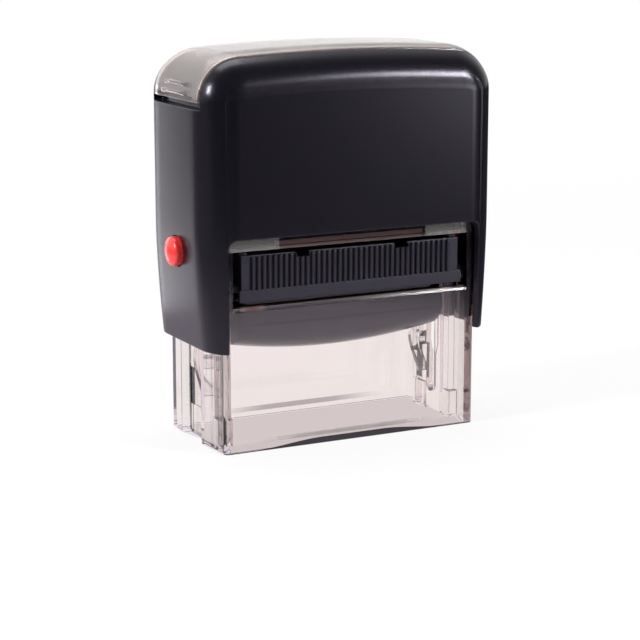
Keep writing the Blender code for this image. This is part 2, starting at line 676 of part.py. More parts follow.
def make_pad(pivot):
    """The ink cassette: a tray open downwards for the felt and hollow on top, with a ribbed grip plate
    across its front."""
    tray = box("pad_tray", (-TRAY_HALF_L, TRAY_FRONT + GRIP_PLATE, PAD_Z), (TRAY_HALF_L, TRAY_BACK, PAD_TOP))
    pocket = (FELT_HALF_L + SEAT_GAP, FELT_HALF_W + SEAT_GAP)
    pocket_top = PAD_Z + FELT_THICK + SEAT_GAP
    cut(tray, box("felt_pocket", (-pocket[0], -pocket[1], PAD_Z - CUT_PAST), (*pocket, pocket_top)))
    flange_z = PAD_Z + FLANGE_LIFT
    for side, tag in SIDES:
        x0, x1 = span(side, TRAY_HALF_L - OVERLAP, TRAY_HALF_L + TRAY_FLANGE)
        add(tray, box(f"tray_flange_{tag}", (x0, TRAY_FRONT + GRIP_PLATE + OVERLAP, flange_z),
                      (x1, TRAY_BACK - OVERLAP, flange_z + FLANGE_THICK)))
    grip_low = PAD_Z - GRIP_DROP
    grip_high = PAD_TOP - GRIP_SHY
    rib_low = grip_low + GRIP_BAND
    add(tray, box("grip_plate", (-TRAY_HALF_L, TRAY_FRONT, grip_low + OVERLAP / 4),
                  (TRAY_HALF_L, TRAY_FRONT + GRIP_PLATE + OVERLAP / 2, grip_high)))
    add(tray, prism("grip_ribs", "Z", grip_comb(), rib_low - OVERLAP / 4, grip_high - OVERLAP / 2))
    add(tray, box("grip_band", (-TRAY_HALF_L - GRIP_REACH, TRAY_FRONT - GRIP_REACH * 0.9, grip_low),
                  (TRAY_HALF_L + GRIP_REACH, TRAY_FRONT + GRIP_PLATE / 2, rib_low)))
    cut(tray, box("top_well", (-pocket[0], TRAY_FRONT + GRIP_PLATE, pocket_top + WELL_FLOOR),
                  (pocket[0], TRAY_BACK - TRAY_WALL, PAD_TOP + CUT_PAST)))
    for side, tag in SIDES:
        x = side * NICK_X
        cut(tray, box(f"grip_nick_{tag}", (x - NICK_WIDE / 2, TRAY_FRONT - CUT_PAST, grip_high - NICK_DEEP),
                      (x + NICK_WIDE / 2, TRAY_FRONT + GRIP_PLATE + OVERLAP, grip_high + CUT_PAST)))
    finish(tray, "black_abs", BLACK, pivot)
    felt = box("ink_pad", (-FELT_HALF_L, -FELT_HALF_W, PAD_Z),
               (FELT_HALF_L, FELT_HALF_W, PAD_Z + FELT_THICK))
    finish(felt, "inked_felt", FELT_RED, pivot)


def main():
    for old in list(bpy.data.objects):
        bpy.data.objects.remove(old)
    cap_slide = pivot_at("cap_slide", (0, 0, HEM_Z))
    make_base()
    make_cap(cap_slide)
    make_bridge(cap_slide)
    make_card(cap_slide)
    make_axle_pins(cap_slide)
    make_lock_buttons(cap_slide)
    make_cover(pivot_at("cover_lift", (0, 0, CAP_TOP)))
    make_return_springs()
    make_die(pivot_at("die_flip", (0, 0, AXLE_Z)))
    make_pad(pivot_at("pad_slide", (0, TRAY_FRONT, PAD_Z)))


main()
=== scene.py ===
"""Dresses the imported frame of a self-inking stamp with finished pieces. Lengths are in metres, written as
millimetres times MM. The front faces -Y and the base stands on Z = 0."""

import math

import bmesh
import bpy
from bpy.props import FloatProperty, FloatVectorProperty, IntProperty, PointerProperty
from mathutils import Color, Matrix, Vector


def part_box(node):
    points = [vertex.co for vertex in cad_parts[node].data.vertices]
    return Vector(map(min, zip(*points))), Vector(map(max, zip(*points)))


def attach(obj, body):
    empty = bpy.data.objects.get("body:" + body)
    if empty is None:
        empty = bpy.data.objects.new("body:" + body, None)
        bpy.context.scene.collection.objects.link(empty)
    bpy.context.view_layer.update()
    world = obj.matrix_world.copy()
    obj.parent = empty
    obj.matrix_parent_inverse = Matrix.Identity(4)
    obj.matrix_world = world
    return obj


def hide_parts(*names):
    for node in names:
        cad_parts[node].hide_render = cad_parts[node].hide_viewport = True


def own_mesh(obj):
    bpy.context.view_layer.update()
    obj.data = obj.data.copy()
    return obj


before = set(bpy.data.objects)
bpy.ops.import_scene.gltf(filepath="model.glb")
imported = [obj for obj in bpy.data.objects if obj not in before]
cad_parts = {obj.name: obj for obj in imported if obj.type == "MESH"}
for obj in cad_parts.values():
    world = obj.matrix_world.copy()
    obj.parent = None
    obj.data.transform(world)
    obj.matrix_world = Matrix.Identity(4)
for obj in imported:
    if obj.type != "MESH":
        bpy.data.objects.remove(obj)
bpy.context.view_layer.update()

bl_info = {
    "name": "Self-inking stamp",
    "version": (1, 0, 0),
    "blender": (4, 5, 0),
    "location": "3D View > Sidebar > Stamp",
    "description": "Dresses the packed frame of a self-inking stamp with finished pieces",
    "category": "Object",
}

MM = 0.001
SIDES = ((-1, "left"), (1, "right"))

# Places taken from the frame
CAP_LOW, CAP_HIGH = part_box("cap_shell")
COVER_LOW, COVER_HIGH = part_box("index_cover")
CARD_LOW, CARD_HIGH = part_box("index_card")
BASE_LOW, BASE_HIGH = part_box("base_frame")
TRAY_LOW, TRAY_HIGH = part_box("pad_tray")
FELT_LOW, FELT_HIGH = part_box("ink_pad")
HOLDER_LOW, HOLDER_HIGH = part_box("die_holder")
FOAM_LOW, FOAM_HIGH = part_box("die_cushion")
RUBBER_LOW, RUBBER_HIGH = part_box("rubber_die")
SPRING_LOW, SPRING_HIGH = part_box("return_spring_right")
BUTTON_LOW, BUTTON_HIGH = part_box("lock_button_right")
LEAF_LOW, LEAF_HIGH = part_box("lock_spring_right")
PIN_LOW, PIN_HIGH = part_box("axle_pin_right")
PEG_LOW, PEG_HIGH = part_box("cam_peg_right")
CAP_TOP = COVER_HIGH.z
AXLE_Z = (PIN_LOW.z + PIN_HIGH.z) / 2
LOCK_Z = (BUTTON_LOW.z + BUTTON_HIGH.z) / 2
CRANK = AXLE_Z - (PEG_LOW.z + PEG_HIGH.z) / 2

# Clearances
SEAT_GAP = 0.3 * MM
OVERLAP = 0.4 * MM
CUT_PAST = 2.0 * MM

# Clear base
WALL = 1.5 * MM
BASE_HALF_W = 24.85 * MM
BASE_CORNER = 1.0 * MM
END_BULGE = 0.55 * MM
END_OUT = BASE_HALF_W + END_BULGE
END_IN = BASE_HALF_W - WALL
HOLLOW_HALF = BASE_HIGH.y - WALL
FRONT_WALL_TOP = AXLE_Z + 3.2 * MM
SILL_ROUND = 0.74 * MM
DECK_TOP = SPRING_LOW.z - SEAT_GAP
DECK_Z = DECK_TOP - 2.2 * MM
WINDOW_TOP = TRAY_HIGH.z + SEAT_GAP
TRAVEL = AXLE_Z - 5.0 * MM
GROOVE_X = END_OUT - 1.8 * MM
GROOVE_HALF = 4.4 * MM
ARM_SHIFT = 1.7 * MM
RIDGE_X = GROOVE_X - 1.4 * MM
RIDGE_HALF = 6.5 * MM
TRACK_IN = 20.5 * MM
TRACK_GAP = 1.1 * MM
TRACK_WALL = 1.0 * MM
SLOT_HALF = 1.25 * MM
FUNNEL_HALF = 2.0 * MM
FUNNEL_LOW = 4.0 * MM
FUNNEL_WIDE = 8.0 * MM
FUNNEL_DEEP = 0.7 * MM
POST_X = RIDGE_X - 0.4 * MM
POST_SIDE = 2.6 * MM
POST_AHEAD = 1.2 * MM
POST_FRONT = -RIDGE_HALF - POST_AHEAD
POST_TALL = 5.4 * MM
BLOCK_LONG = 4.4 * MM
BLOCK_TALL = 5.2 * MM
RIM_PROUD = 0.35 * MM
RIM_TALL = 1.2 * MM
RIM_SLOPE = 0.85 * MM
RAIL_DROP = 0.1 * MM
RAIL_THICK = 1.2 * MM
SPRING_POST = 2.5 * MM
STRIP_HALF = 14.4 * MM
STRIP_BACK = 0.3 * MM
STRIP_THICK = 0.6 * MM
STRIP_RISE = 0.05 * MM
STRIP_TALL = 1.25 * MM
STRIP_ROOM = 0.1 * MM

# Painted shadow, shade, light and reflection on the clear base, and frost on its top edge
NUDGE = 0.02 * MM
BOW_FULL = 6.0 * MM
BOW_END = 19.0 * MM
BOW_TALL = 0.9 * MM
BOW_LEAST = 0.25 * MM
GROOVE_SHADE_Y = (3.9 * MM, 5.9 * MM)
GROOVE_SHADE_Z = (5.4 * MM, 12.2 * MM)
GROOVE_SKIN = 0.1 * MM
CORNER_IN = 0.5 * MM
POST_SKIN = 0.06 * MM
SILL_FROST = 0.75 * MM
RED_REFLECTION_X = -19.4 * MM
RED_REFLECTION_FULL = 0.5 * MM
RED_REFLECTION_END = 2.8 * MM

# Cap, index cover and card. QUARTER and LIP_TURN are in degrees, and LIP_START is a share of a ridge step
QUARTER = [7.5 * i for i in range(13)]
MARK_ROOM = math.radians(3.2)
HEM_STEPS = [step * MM for step in (0, 1.2, 4, 8, 12, 16.3)]
PANEL_ROWS = [z * MM for z in (43, 48, 53, 57)]
NOTCH_ROW = 1.8 * MM
CREASE_RISE = 2.0 * MM
CREASE_PAST = 1.5 * MM
CREASE_FADE = 1.2 * MM
CROWN_STEPS = 14
LIP_RIDGES = 2
LIP_START = 0.6
LIP_FADE = 0.3 * MM
LIP_TURN = 33
CARD_THICK = 0.25 * MM

# Ink cassette
PAD_Z = FELT_LOW.z
TRAY_HALF_L = 21.4 * MM
GRIP_REACH = 0.45 * MM
TRAY_FRONT = TRAY_LOW.y + GRIP_REACH
GRIP_PLATE = 0.8 * MM
WELL_WALL = 1.5 * MM
WELL_FLOOR = 0.8 * MM
NICK_DEEP = 0.9 * MM
NICK_X = 9.7 * MM
NICK_HALF = 1.3 * MM
FLANGE_RISE = 0.2 * MM
FLANGE_THICK = 1.0 * MM
GRIP_LOW = TRAY_LOW.z
GRIP_HIGH = TRAY_HIGH.z - 0.45 * MM
RIB_LOW = GRIP_LOW + 2.1 * MM
RIB_HALF = TRAY_HALF_L - 1.65 * MM
# How far under the grip's top the ribs have faded to a share of their height
RIB_FADES = ((0.5 * MM, 1.0), (0.32 * MM, 0.9), (0.2 * MM, 0.6))

# Die. Each bar has its half length and its middle
PAD_CORNER = 1.2 * MM
BELLY_RISE = 2.0 * MM
BELLY_IN = 0.1 * MM
SEAM_Z = -1.1 * MM
SEAM_DEEP = 0.4 * MM
SEAM_STEPS = (0.1 * MM, 0.25 * MM, 0.4 * MM)
HOLDER_EDGE = 0.3 * MM
AXLE_BORE = 1.0 * MM
PEG_BORE = 0.9 * MM
BORE_DEEP = 2.3 * MM
PRINT_FLOOR = 0.7 * MM
BARS = ((16.5 * MM, 3.8 * MM), (13.0 * MM, 0.0), (16.5 * MM, -3.8 * MM))
BAR_HALF = 0.8 * MM
FRAME_OUT = 0.4 * MM
FRAME_IN = 1.0 * MM

# Lock buttons
BUTTON_RADIUS = BUTTON_HIGH.y - 0.7 * MM
BUTTON_ROOM = 0.15 * MM
BUTTON_PROUD = 1.8 * MM
BUTTON_EDGE = 0.6 * MM
BUTTON_LEAN = math.radians(24)
COLLAR_THICK = 0.5 * MM
STEM = 1.1 * MM
STEM_HOLE = 1.45 * MM
TIP = 0.05 * MM
LEAF_THICK = 0.2 * MM

# Finishes and stage
SMOOTH_TURN = math.radians(38)
NOISE_LOW, NOISE_HIGH = 0.3, 0.7
ABS_IOR = 1.52
STYRENE_IOR = 1.57
FLOOR_HALF = 3.0
VEIL_GAP = 5.0 * MM
LAMP_FAR = 0.6
RIM_LAMP_FAR = 84 * MM
LAMP_AIM = Vector((0, 0, 40 * MM))
LENS = 113.685
SENSOR = 36.0
CAMERA_AT = Vector((-163.27, -317.62, 95.38)) * MM
CAMERA_AIM = Vector((-2.193, -3.208, 20.136)) * MM


def linear(code):
    """A sRGB hex colour as linear red, green and blue."""
    shares = [int(code[i:i + 2], 16) / 255 for i in (1, 3, 5)]
    return [s / 12.92 if s <= 0.04045 else ((s + 0.055) / 1.055) ** 2.4 for s in shares]


def length(name, description, millimetres):
    return FloatProperty(name=name, description=description, default=millimetres * MM, unit="LENGTH")


def colour(name, description, code):
    return FloatVectorProperty(name=name, description=description, default=linear(code), subtype="COLOR")


class StampSizes(bpy.types.PropertyGroup):
    """Sizes of the pieces that a maker would change"""

    cap_corner: length("Cap end radius", "Rounding between the cap's top and its ends", 8.0)
    cap_arch: length("Cap arch radius", "Radius of the shallow arch across the cap's top", 324.0)
    upright_edge: length("Upright edge radius", "Rounding of the cap's four upright edges", 6.0)
    top_edge: length("Top edge radius", "Rounding of the cap's front and back top edges", 7.5)
    cap_wall: length("Cap wall", "Thickness of the cap's walls", 1.3)
    cap_taper: length("Cap taper", "How far each end draws in at the hem", 1.2)
    taper_tall: length("Taper height", "Height above the hem where the taper starts", 20.0)
    notch_half: length("Notch half width", "Half the width of the opening in the cap's front", 24.65)
    notch_top: length("Notch height", "Height of the top of the opening in the cap's front", 37.6)
    notch_corner: length("Notch corner", "Rounding of the opening's upper corners", 1.5)
    crease_half: length("Crease half width", "Half the width of the two upright creases", 0.35)
    crease_deep: length("Crease depth", "Depth of the two upright creases", 0.22)
    channel: length("Channel depth", "Depth of the channel that holds the index card and cover", 1.75)
    finger_gap: length("Finger gap", "Gap under each end of the index cover", 1.1)
    cover_thick: length("Cover thickness", "Thickness of the index cover", 1.0)
    ridge_out: length("Lip ridge height", "How far the grip ridges stand out from the cover's ends", 0.25)
    ridge_step: length("Lip ridge step", "Distance between the grip ridges on the cover's ends", 1.5)
    ridge_half: length("Lip ridge half length", "Half the length of the grip ridges", 4.4)
    edge_break: length("Edge break", "Rounding of moulded edges", 0.22)
    rib_count: IntProperty(name="Grip ribs", description="Number of ribs on the cassette's grip", default=38)
    wire: length("Spring wire", "Thickness of the return springs' wire", 0.8)
    coil_turns: IntProperty(name="Coil turns", description="Open turns of each return spring", default=7)


class StampColours(bpy.types.PropertyGroup):
    """Colours of the finishes"""

    black: colour("Black plastic", "Moulded black plastic", "#0d0c12")
    black_worn: colour("Black plastic, lighter", "Lighter clouding of the black plastic", "#121118")
    black_gloss: colour("Black plastic, gloss", "Cool cast of the black plastic's gloss", "#f3eeff")
    # Painted light: the cassette's black is painted lighter than the cap's to stand in for light on its ribs
    dull: colour("Dull black plastic", "Plastic of the ink cassette", "#23222a")
    clear: colour("Clear plastic", "Surface tint of the clear plastic", "#fdf9f7")
    glow: colour("Glow", "Paper as gloss shows it", "#f0e3f4")
    # Painted shadow on the paper inside the clear base
    shade: colour("Shade", "Paper inside the clear base", "#d7cecf")
    # Painted shadow: grey painted on the back slope of the clear base's foot rim
    rim: colour("Foot rim", "Slope of the clear base's foot rim", "#8a8084")
    # Painted shade: darker brown down the clear base's right front corner and on the tops of its foot posts
    corner: colour("Corner", "Smoky right corner of the clear base", "#7d6968")
    cover: colour("Cover", "Clear index cover", "#f5ebe8")
    # Painted shadow: dark colour painted in a bow under the clear base's front edge and as a streak in each
    # end groove
    foot: colour("Foot ink", "Ink under the clear base's front edge", "#1d1a20")
    smoke: colour("Smoke", "Tint that a thickness of clear plastic takes on", "#b7a0a0")
    card: colour("Card", "Index card", "#f7f2f0")
    card_fibre: colour("Card fibres", "Darker fibres in the index card", "#ece4e1")
    red: colour("Red plastic", "Lock buttons", "#f23835")
    # Also painted near the left end of the clear base's front top edge, as a red reflection of the die
    ink: colour("Ink", "Ink in the felt", "#8c1519")
    ink_dark: colour("Dark ink", "Wetter patches of the felt", "#5c0c10")
    rubber: colour("Rubber", "Ink-stained rubber of the die", "#8a2f2b")
    rubber_dark: colour("Dark rubber", "Ink held between the raised lines", "#5b1716")
    foam: colour("Foam", "Adhesive foam under the rubber", "#77767a")
    foam_dark: colour("Foam pores", "Open pores of the foam", "#5c5b5f")
    steel: colour("Steel", "Ground pins and drawn spring wire", "#c9c9cb")
    strip: colour("Crossbar strip", "Strip behind the base's crossbar", "#957a72")
    floor: colour("Floor", "Paper floor", "#f4f3f2")
    table: colour("Table", "Dim table beyond the edges of the paper", "#4a444e")


# Meshes

def piece_from(name, shape):
    """An object from a mesh in the making, with its faces turned outwards."""
    bmesh.ops.recalc_face_normals(shape, faces=shape.faces)
    mesh = bpy.data.meshes.new(name)
    shape.to_mesh(mesh)
    shape.free()
    piece = bpy.data.objects.new(name, mesh)
    bpy.context.scene.collection.objects.link(piece)
    return piece


def quads(shape, grid, keep=None):
    """Faces between neighbouring lines of a grid of vertices."""
    for i, (line, beyond) in enumerate(zip(grid, grid[1:])):
        for j in range(len(line) - 1):
            if keep is None or keep(i, j):
                shape.faces.new((line[j], line[j + 1], beyond[j + 1], beyond[j]))


def loft(name, rings):
    """Closed skin through rings of equal count, with a flat face on each end."""
    shape = bmesh.new()
    grid = [[shape.verts.new(point) for point in ring] for ring in rings]
    quads(shape, [ring + ring[:1] for ring in grid])
    shape.faces.new(grid[0])
    shape.faces.new(grid[-1])
    return piece_from(name, shape)


def sheet(name, outer, inner):
    """Closed shell between two grids of points."""
    shape = bmesh.new()
    tops = [[shape.verts.new(point) for point in line] for line in outer]
    backs = [[shape.verts.new(point) for point in line] for line in inner]
    quads(shape, tops)
    quads(shape, backs)
    for end in (0, -1):
        quads(shape, [tops[end], backs[end]])
    for end in (0, -1):
        quads(shape, [[line[end] for line in tops], [line[end] for line in backs]])
    return piece_from(name, shape)


def spot(axis, along, point):
    """A point from its place along an axis and its two other coordinates, in X, Y, Z order."""
    u, v = point
    return {"X": (along, u, v), "Y": (u, along, v), "Z": (u, v, along)}[axis]


def prism(name, axis, outline, low, high):
    return loft(name, [[spot(axis, along, point) for point in outline] for along in (low, high)])


def slab(name, low, high):
    outline = [(low[0], low[1]), (high[0], low[1]), (high[0], high[1]), (low[0], high[1])]
    return prism(name, "Z", outline, low[2], high[2])


def turned(name, profile, centre, steps=64):
    """A solid of revolution about X through a centre in Y and Z, from (X, radius) pairs."""
    rings = [[(x, centre[0] + r * math.cos(a), centre[1] + r * math.sin(a))
              for a in (2 * math.pi * i / steps for i in range(steps))] for x, r in profile]
    return loft(name, rings)


def wire_along(name, path, radius, sides=12):
    """A round wire along a path."""
    rings = []
    for i, point in enumerate(path):
        ahead = (path[min(i + 1, len(path) - 1)] - path[max(i - 1, 0)]).normalized()
        across = ahead.cross((0, 0, 1)).normalized()
        up = across.cross(ahead)
        rings.append([point + radius * (across * math.cos(a) + up * math.sin(a))
                      for a in (2 * math.pi * k / sides for k in range(sides))])
    return loft(name, rings)


def arc(centre, radius, start, end, steps):
    """Points of an arc between two angles in degrees, both ends included."""
    angles = [math.radians(start + (end - start) * i / steps) for i in range(steps + 1)]
    return [(centre[0] + radius * math.cos(a), centre[1] + radius * math.sin(a)) for a in angles]


def mirrored(half):
    """A closed outline from its right half, which runs from the foot up to the middle."""
    return half + [(-x, z) for x, z in reversed(half) if x > 0]


def span(side, near, far):
    """Two places along X at one end, in rising order."""
    return sorted((side * near, side * far))


def round_bar(name, side, near, far, z, radius, steps=32):
    """A round bar along X at one end of the stamp, in its middle plane at a height."""
    return prism(name, "X", arc((0, z), radius, 0, 360, steps)[:-1], *span(side, near, far))


def end_slab(name, side, near, far, low, high):
    """A slab at one end of the stamp: near and far along X, low and high as (Y, Z) pairs."""
    x0, x1 = span(side, near, far)
    return slab(name, (x0, *low), (x1, *high))


def combine(piece, operation, tools):
    for tool in tools:
        modifier = piece.modifiers.new(tool.name, "BOOLEAN")
        modifier.operation = operation
        modifier.object = tool
        modifier.solver = "EXACT"


def carve(piece, *tools):
    combine(piece, "DIFFERENCE", tools)


def join(piece, *tools):
    combine(piece, "UNION", tools)


def soften(piece, width, segments=3, angle=35):
    """Rounds the edges that turn by more than an angle in degrees."""
    modifier = piece.modifiers.new("Soft edges", "BEVEL")
    modifier.width = width
    modifier.segments = segments
    modifier.limit_method = "ANGLE"
    modifier.angle_limit = math.radians(angle)
    modifier.use_clamp_overlap = False
    modifier.miter_outer = "MITER_ARC"


def merge(piece, *others):
    """Adds the meshes of other solids to a piece, which they overlap."""
    shape = bmesh.new()
    for part in (piece, *others):
        shape.from_mesh(settle(part).data)
    shape.to_mesh(piece.data)
    shape.free()
    for part in others:
        bpy.data.meshes.remove(part.data)


def settle(piece):
    """Makes a piece's modifiers part of its mesh and clears away the shapes that they used."""
    tools = [m.object for m in piece.modifiers if m.type == "BOOLEAN"]
    raw = piece.data
    graph = bpy.context.evaluated_depsgraph_get()
    piece.data = bpy.data.meshes.new_from_object(piece.evaluated_get(graph))
    piece.data.name = piece.name
    piece.modifiers.clear()
    bpy.data.meshes.remove(raw)
    for tool in tools:
        bpy.data.meshes.remove(tool.data)
    return piece


def finish(piece, material, body, slot, *nodes):
    """Gives a piece its finish and its place in the frame."""
    settle(piece)
    piece.data.materials.clear()
    piece.data.materials.append(material)
    piece.data.shade_smooth()
    piece.data.set_sharp_from_angle(angle=SMOOTH_TURN)
    normals = piece.modifiers.new("Even shading", "WEIGHTED_NORMAL")
    normals.keep_sharp = True
    settle(piece)
    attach(piece, body)
    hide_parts(*nodes)
    return piece


# Finishes

def add_node(tree, kind, sockets=None, **settings):
    """Adds a node with its settings. A socket takes a value, a colour or a link, and a node that is given for
    one is linked by its first open output."""
    node = tree.nodes.new("ShaderNode" + kind)
    for name, value in settings.items():
        setattr(node, name, value)
    for name, value in (sockets or {}).items():
        if isinstance(value, bpy.types.Node):
            value = next(output for output in value.outputs if output.enabled)
        if isinstance(value, bpy.types.NodeSocket):
            tree.links.new(value, node.inputs[name])
        else:
            node.inputs[name].default_value = (*value, 1) if isinstance(value, Color) else value
    return node


def new_material(name):
    """An empty material and its node tree."""
    material = bpy.data.materials.new(name)
    material.use_nodes = True
    material.node_tree.nodes.clear()
    return material, material.node_tree


def known(maker):
    """Hands out the material that a maker made the first time it was called."""
    made = []

    def give(colours):
        if not made:
            made.append(maker(colours))
        return made[0]
    return give


def grained(name, grain, sockets, rough=None, relief=None, patches=None, stretch=None, detail=2.0,
            smoke=None):
    """A finish that follows a noise grain: in its roughness between two values, and in its relief by a depth
    and a strength. Patches are the size and detail of a second noise and the two colours that it mixes, and
    smoke is the tint and density of the inside."""
    material, tree = new_material(name)
    place = add_node(tree, "TexCoord").outputs["Object"]
    if stretch:
        place = add_node(tree, "Mapping", {"Vector": place, "Scale": stretch})
    pattern = add_node(tree, "TexNoise", {"Vector": place, "Scale": 1 / grain, "Detail": detail})
    surface = dict(sockets)
    if rough:
        surface["Roughness"] = add_node(tree, "MapRange", {
            "Value": pattern, "From Min": NOISE_LOW, "From Max": NOISE_HIGH,
            "To Min": rough[0], "To Max": rough[1]})
    if relief:
        surface["Normal"] = add_node(tree, "Bump", {
            "Height": pattern, "Distance": relief[0], "Strength": relief[1]})
    if patches:
        size, patch_detail, first, second = patches
        cloud = add_node(tree, "TexNoise", {"Vector": place, "Scale": 1 / size, "Detail": patch_detail})
        surface["Base Color"] = add_node(tree, "Mix", {0: cloud, 6: first, 7: second}, data_type="RGBA")
    ends = {"Surface": add_node(tree, "BsdfPrincipled", surface)}
    if smoke:
        ends["Volume"] = add_node(tree, "VolumeAbsorption", {"Color": smoke[0], "Density": smoke[1]})
    add_node(tree, "OutputMaterial", ends)
    return material


def region(tree, *ranges):
    """A mask that is 1 where each value lies between its lowest and highest, and 0 elsewhere."""
    masks = [add_node(tree, "Math", {0: value, 1: (low + high) / 2, 2: (high - low) / 2}, operation="COMPARE")
             for value, low, high in ranges]
    mask = masks[0]
    for other in masks[1:]:
        mask = add_node(tree, "Math", {0: mask, 1: other}, operation="MULTIPLY")
    return mask


@known
def black_abs(colours):
    # Moulded ABS off a spark-eroded tool: satin gloss broken by a fine pebble grain, drawn a little coarser
    # than the real one so that it shows
    return grained("Moulded black ABS", 0.32 * MM, {
        "IOR": ABS_IOR, "Specular IOR Level": 0.4, "Specular Tint": colours.black_gloss},
        rough=(0.18, 0.27), relief=(0.02 * MM, 0.28),
        patches=(9 * MM, 2.0, colours.black, colours.black_worn))


@known
def dull_abs(colours):
    # The cassette's ABS, handled and never polished: rougher than the cap, with a broad soft sheen on the
    # ribs
    # Painted light: its black is lighter than the cap's, standing in for light falling on the ribs
    return grained("Dull black ABS", 1.5 * MM, {
        "Base Color": colours.dull, "IOR": ABS_IOR, "Specular Tint": colours.black_gloss},
        rough=(0.30, 0.42), relief=(0.01 * MM, 0.3))


@known
def red_abs(colours):
    # Polished ABS: saturated red under a clear gloss with a faint moulded ripple
    return grained("Polished red ABS", 0.8 * MM, {
        "Base Color": colours.red, "IOR": 1.54, "Coat Weight": 0.3, "Coat Roughness": 0.08},
        rough=(0.22, 0.32), relief=(0.01 * MM, 0.3))


@known
def clear_cover(colours):
    # Clear polystyrene rubbed by fingers: glassy with a slight haze, smoky through its thickness
    return grained("Handled clear polystyrene", 5 * MM, {
        "Base Color": colours.cover, "Transmission Weight": 0.93, "IOR": STYRENE_IOR},
        rough=(0.04, 0.12), relief=(0.02 * MM, 0.3), smoke=(colours.smoke, 110.0))


@known
def card_stock(colours):
    # Uncoated card: matt, warm white with short fibres
    fibre, detail = 0.5 * MM, 3.0
    return grained("Uncoated card", fibre, {"Roughness": 0.85, "Specular IOR Level": 0.2},
                   relief=(0.02 * MM, 0.4), patches=(fibre, detail, colours.card, colours.card_fibre),
                   stretch=(1, 0.3, 1), detail=detail)


@known
def inked_felt(colours):
    # Pressed felt soaked with ink: matt fibres with wetter and darker patches
    return grained("Inked felt", 0.25 * MM, {"Sheen Weight": 0.2, "Sheen Roughness": 0.6},
                   rough=(0.55, 0.95), relief=(0.08 * MM, 0.8),
                   patches=(4 * MM, 3.0, colours.ink, colours.ink_dark), detail=4.0)


@known
def stained_rubber(colours):
    # Laser-cut rubber: dull, with ink left in the hollows
    return grained("Ink-stained rubber", 0.2 * MM, {"IOR": 1.52, "Specular IOR Level": 0.4},
                   rough=(0.55, 0.75), relief=(0.03 * MM, 0.5),
                   patches=(1.5 * MM, 3.0, colours.rubber, colours.rubber_dark))


@known
def ground_steel(colours):
    # Ground and drawn steel: bright, with fine lines round the wire
    return grained("Ground steel", 0.12 * MM, {"Base Color": colours.steel, "Metallic": 1.0},
                   rough=(0.22, 0.36), relief=(0.005 * MM, 0.3), stretch=(1, 1, 0.1))


@known
def brown_strip(colours):
    # A dark brown satin strip behind the crossbar, drawn for the brown band there; what that band is was not
    # made out
    return grained("Brown crossbar strip", 0.5 * MM, {"Base Color": colours.strip, "Specular IOR Level": 0.1},
                   rough=(0.35, 0.45))


@known
def foam_tape(colours):
    # Closed-cell foam: matt grey with open pores along its cut edge
    material, tree = new_material("Closed-cell foam")
    place = add_node(tree, "TexCoord").outputs["Object"]
    pores = add_node(tree, "TexVoronoi", {"Vector": place, "Scale": 1 / (0.3 * MM)})
    shade = add_node(tree, "Mix", {0: pores, 6: colours.foam_dark, 7: colours.foam}, data_type="RGBA")
    bump = add_node(tree, "Bump", {"Height": pores, "Distance": 0.08 * MM, "Strength": 0.6})
    shader = add_node(tree, "BsdfPrincipled", {
        "Base Color": shade, "Normal": bump, "Roughness": 0.9, "Specular IOR Level": 0.2})
    add_node(tree, "OutputMaterial", {"Surface": shader})
    return material


